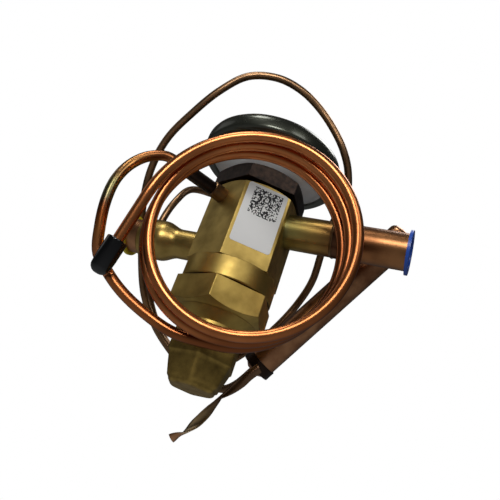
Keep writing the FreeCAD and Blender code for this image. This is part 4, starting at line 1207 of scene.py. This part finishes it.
@dataclass(frozen=True)
class CodeBlock:
    """The block of dark squares, in millimetres on the body's front flat."""

    facing: float = -60.0
    out: float = 25.69
    left: float = -8.4
    up: float = 100.6
    count: int = 27
    cell: float = 0.68
    bare: float = 0.47

    def filled(self, row: int, column: int) -> bool:
        """Tell whether a cell is dark: the fraction of a large sine wave is past the bare share.

        Args:
            row: The cell's row.
            column: The cell's column.

        Returns:
            True where the cell is dark.
        """
        wave = math.sin(row * 12.9898 + column * 78.233) * 43758.5453
        return wave - math.floor(wave) >= self.bare


class LabelPrint(Part):
    """A plain block of small dark squares near the top of the white label."""

    def build(self) -> None:
        """Lay the squares on the label."""
        block = CodeBlock()
        angle = math.radians(block.facing)
        normal = np.array([math.cos(angle), math.sin(angle), 0.0])
        right = np.array([-math.sin(angle), math.cos(angle), 0.0])
        up = np.array([0.0, 0.0, 1.0])
        origin = normal * block.out + right * block.left + up * block.up
        vertices, faces = [], []
        for row in range(block.count):
            for column in range(block.count):
                if not block.filled(row, column):
                    continue
                corner = origin + right * column * block.cell + up * row * block.cell
                start = len(vertices)
                for across, high in ((0, 0), (1, 0), (1, 1), (0, 1)):
                    vertices.append(corner + right * across * block.cell + up * high * block.cell)
                faces.append((start, start + 1, start + 2, start + 3))
        squares = mesh_object("label_squares", np.array(vertices), faces)
        self.seat(squares, "label_ink", "valve", slot="label_film")


@dataclass(frozen=True)
class SoftLight:
    """One square area light: its place and side in metres and its power in watts."""

    name: str
    place: Point
    side: float
    watts: float


LIGHTS: tuple[SoftLight, ...] = (
    SoftLight("key_light", (0.10, -0.82, 0.32), 0.28, 3.0),
    SoftLight("top_light", (-0.25, -0.45, 0.85), 0.25, 2.0),
    SoftLight("fill_light", (0.75, -0.75, 0.60), 0.40, 1.6),
    SoftLight("left_light", (-0.95, -0.15, 0.55), 0.50, 0.3),
    SoftLight("rim_light", (0.2, 0.35, 0.85), 0.35, 1.8),
)
LIT_PLACE: Point = (0.0, 0.0, 0.09)


@dataclass(frozen=True)
class Room:
    """The floor, in millimetres, and the dim light from all round, stronger from below."""

    floor_half: float = 3000.0
    floor_level: float = -420.0
    floor_colour: str = "#F4F4F2"
    floor_glow: float = 0.6
    air_colour: str = "#B9BBBE"
    low_direction: float = -0.9
    high_direction: float = 0.1
    low_strength: float = 0.6
    high_strength: float = 0.08


class Studio:
    """The camera, the pale floor and the soft lights."""

    def build(self) -> None:
        """Set the whole studio up."""
        room = Room()
        self.place_camera()
        self.place_world(room)
        self.place_floor(room)
        self.place_lights()

    @staticmethod
    def place_camera() -> None:
        """Put the camera where the finished picture is taken from."""
        view = Camera()
        data = bpy.data.cameras.new("camera")
        data.lens = view.lens_mm
        data.sensor_width = view.sensor_mm
        data.sensor_fit = "HORIZONTAL"
        data.shift_x, data.shift_y = view.shift_x, view.shift_y
        data.clip_start, data.clip_end = view.clip
        camera = bpy.data.objects.new("camera", data)
        right, up = Vector(view.right), Vector(view.up)
        frame = Matrix((right, up, right.cross(up))).transposed().to_4x4()
        frame.translation = Vector(view.place)
        camera.matrix_world = frame
        bpy.context.scene.collection.objects.link(camera)
        bpy.context.scene.camera = camera

    @staticmethod
    def place_world(room: Room) -> None:
        """Light the world dimly, more from below, and show it white behind the valve.

        Args:
            room: The room's settings.
        """
        world = bpy.data.worlds.new("studio_world")
        world.use_nodes = True
        tree = world.node_tree
        dim = tree.nodes["Background"]
        dim.inputs["Color"].default_value = linear(room.air_colour)
        aim = add_node(tree, "ShaderNodeTexCoord")
        axes = add_node(tree, "ShaderNodeSeparateXYZ")
        bounce = add_node(
            tree,
            "ShaderNodeMapRange",
            From_Min=room.low_direction,
            From_Max=room.high_direction,
            To_Min=room.low_strength,
            To_Max=room.high_strength,
        )
        tree.links.new(aim.outputs["Generated"], axes.inputs["Vector"])
        tree.links.new(axes.outputs["Z"], bounce.inputs["Value"])
        tree.links.new(bounce.outputs["Result"], dim.inputs["Strength"])
        white = add_node(tree, "ShaderNodeBackground", Color=(1.0, 1.0, 1.0, 1.0), Strength=1.0)
        path = add_node(tree, "ShaderNodeLightPath")
        mix = add_node(tree, "ShaderNodeMixShader")
        tree.links.new(path.outputs["Is Camera Ray"], mix.inputs["Fac"])
        tree.links.new(dim.outputs["Background"], mix.inputs[1])
        tree.links.new(white.outputs["Background"], mix.inputs[2])
        tree.links.new(mix.outputs["Shader"], tree.nodes["World Output"].inputs["Surface"])
        bpy.context.scene.world = world
        bpy.context.scene.view_settings.view_transform = "Standard"

    @staticmethod
    def place_floor(room: Room) -> None:
        """Lay a pale floor well below the valve, which the metal does not mirror.

        Args:
            room: The room's settings.
        """
        half, level = room.floor_half, room.floor_level
        corners = [(x * half, y * half, level) for x, y in ((-1, -1), (1, -1), (1, 1), (-1, 1))]
        floor = mesh_object("floor", np.array(corners), [(0, 1, 2, 3)])
        pale = bpy.data.materials.new("pale_floor")
        pale.use_nodes = True
        shader = pale.node_tree.nodes["Principled BSDF"]
        shader.inputs["Base Color"].default_value = linear(room.floor_colour)
        shader.inputs["Roughness"].default_value = 0.9
        shader.inputs["Emission Color"].default_value = linear(room.floor_colour)
        shader.inputs["Emission Strength"].default_value = room.floor_glow
        floor.data.materials.append(pale)
        floor.visible_glossy = False
        floor.visible_diffuse = False

    @staticmethod
    def place_lights() -> None:
        """Hang the soft lights and turn each toward the valve."""
        middle = Vector(LIT_PLACE)
        for lamp in LIGHTS:
            data = bpy.data.lights.new(lamp.name, "AREA")
            data.size = lamp.side
            data.energy = lamp.watts
            light = bpy.data.objects.new(lamp.name, data)
            light.location = lamp.place
            toward = middle - Vector(lamp.place)
            light.rotation_euler = toward.to_track_quat("-Z", "Y").to_euler()
            bpy.context.scene.collection.objects.link(light)


def paint_solids(frame: dict[str, object], shop: MaterialShop) -> None:
    """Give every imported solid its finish.

    Args:
        shop: Where finishes come from.
    """
    wears = {node: finish for finish, nodes in FINISH_NODES.items() for node in nodes}
    for name, node in frame["nodes"].items():
        if getattr(node, "type", "") != "MESH":
            continue
        node.data.materials.clear()
        node.data.materials.append(shop.get(wears[name]))


def main() -> None:
    """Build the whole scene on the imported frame."""
    logging.basicConfig(level=logging.INFO)
    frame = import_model()
    shop = MaterialShop()
    detail = Detail.FULL
    paint_solids(frame, shop)
    for group in (BentTubes, Head, ForgedCap, Connections, LabelPrint):
        group(shop, detail).build()
        LOG.info("built %s", group.__name__)
    Studio().build()


if __name__ == "__main__":
    main()
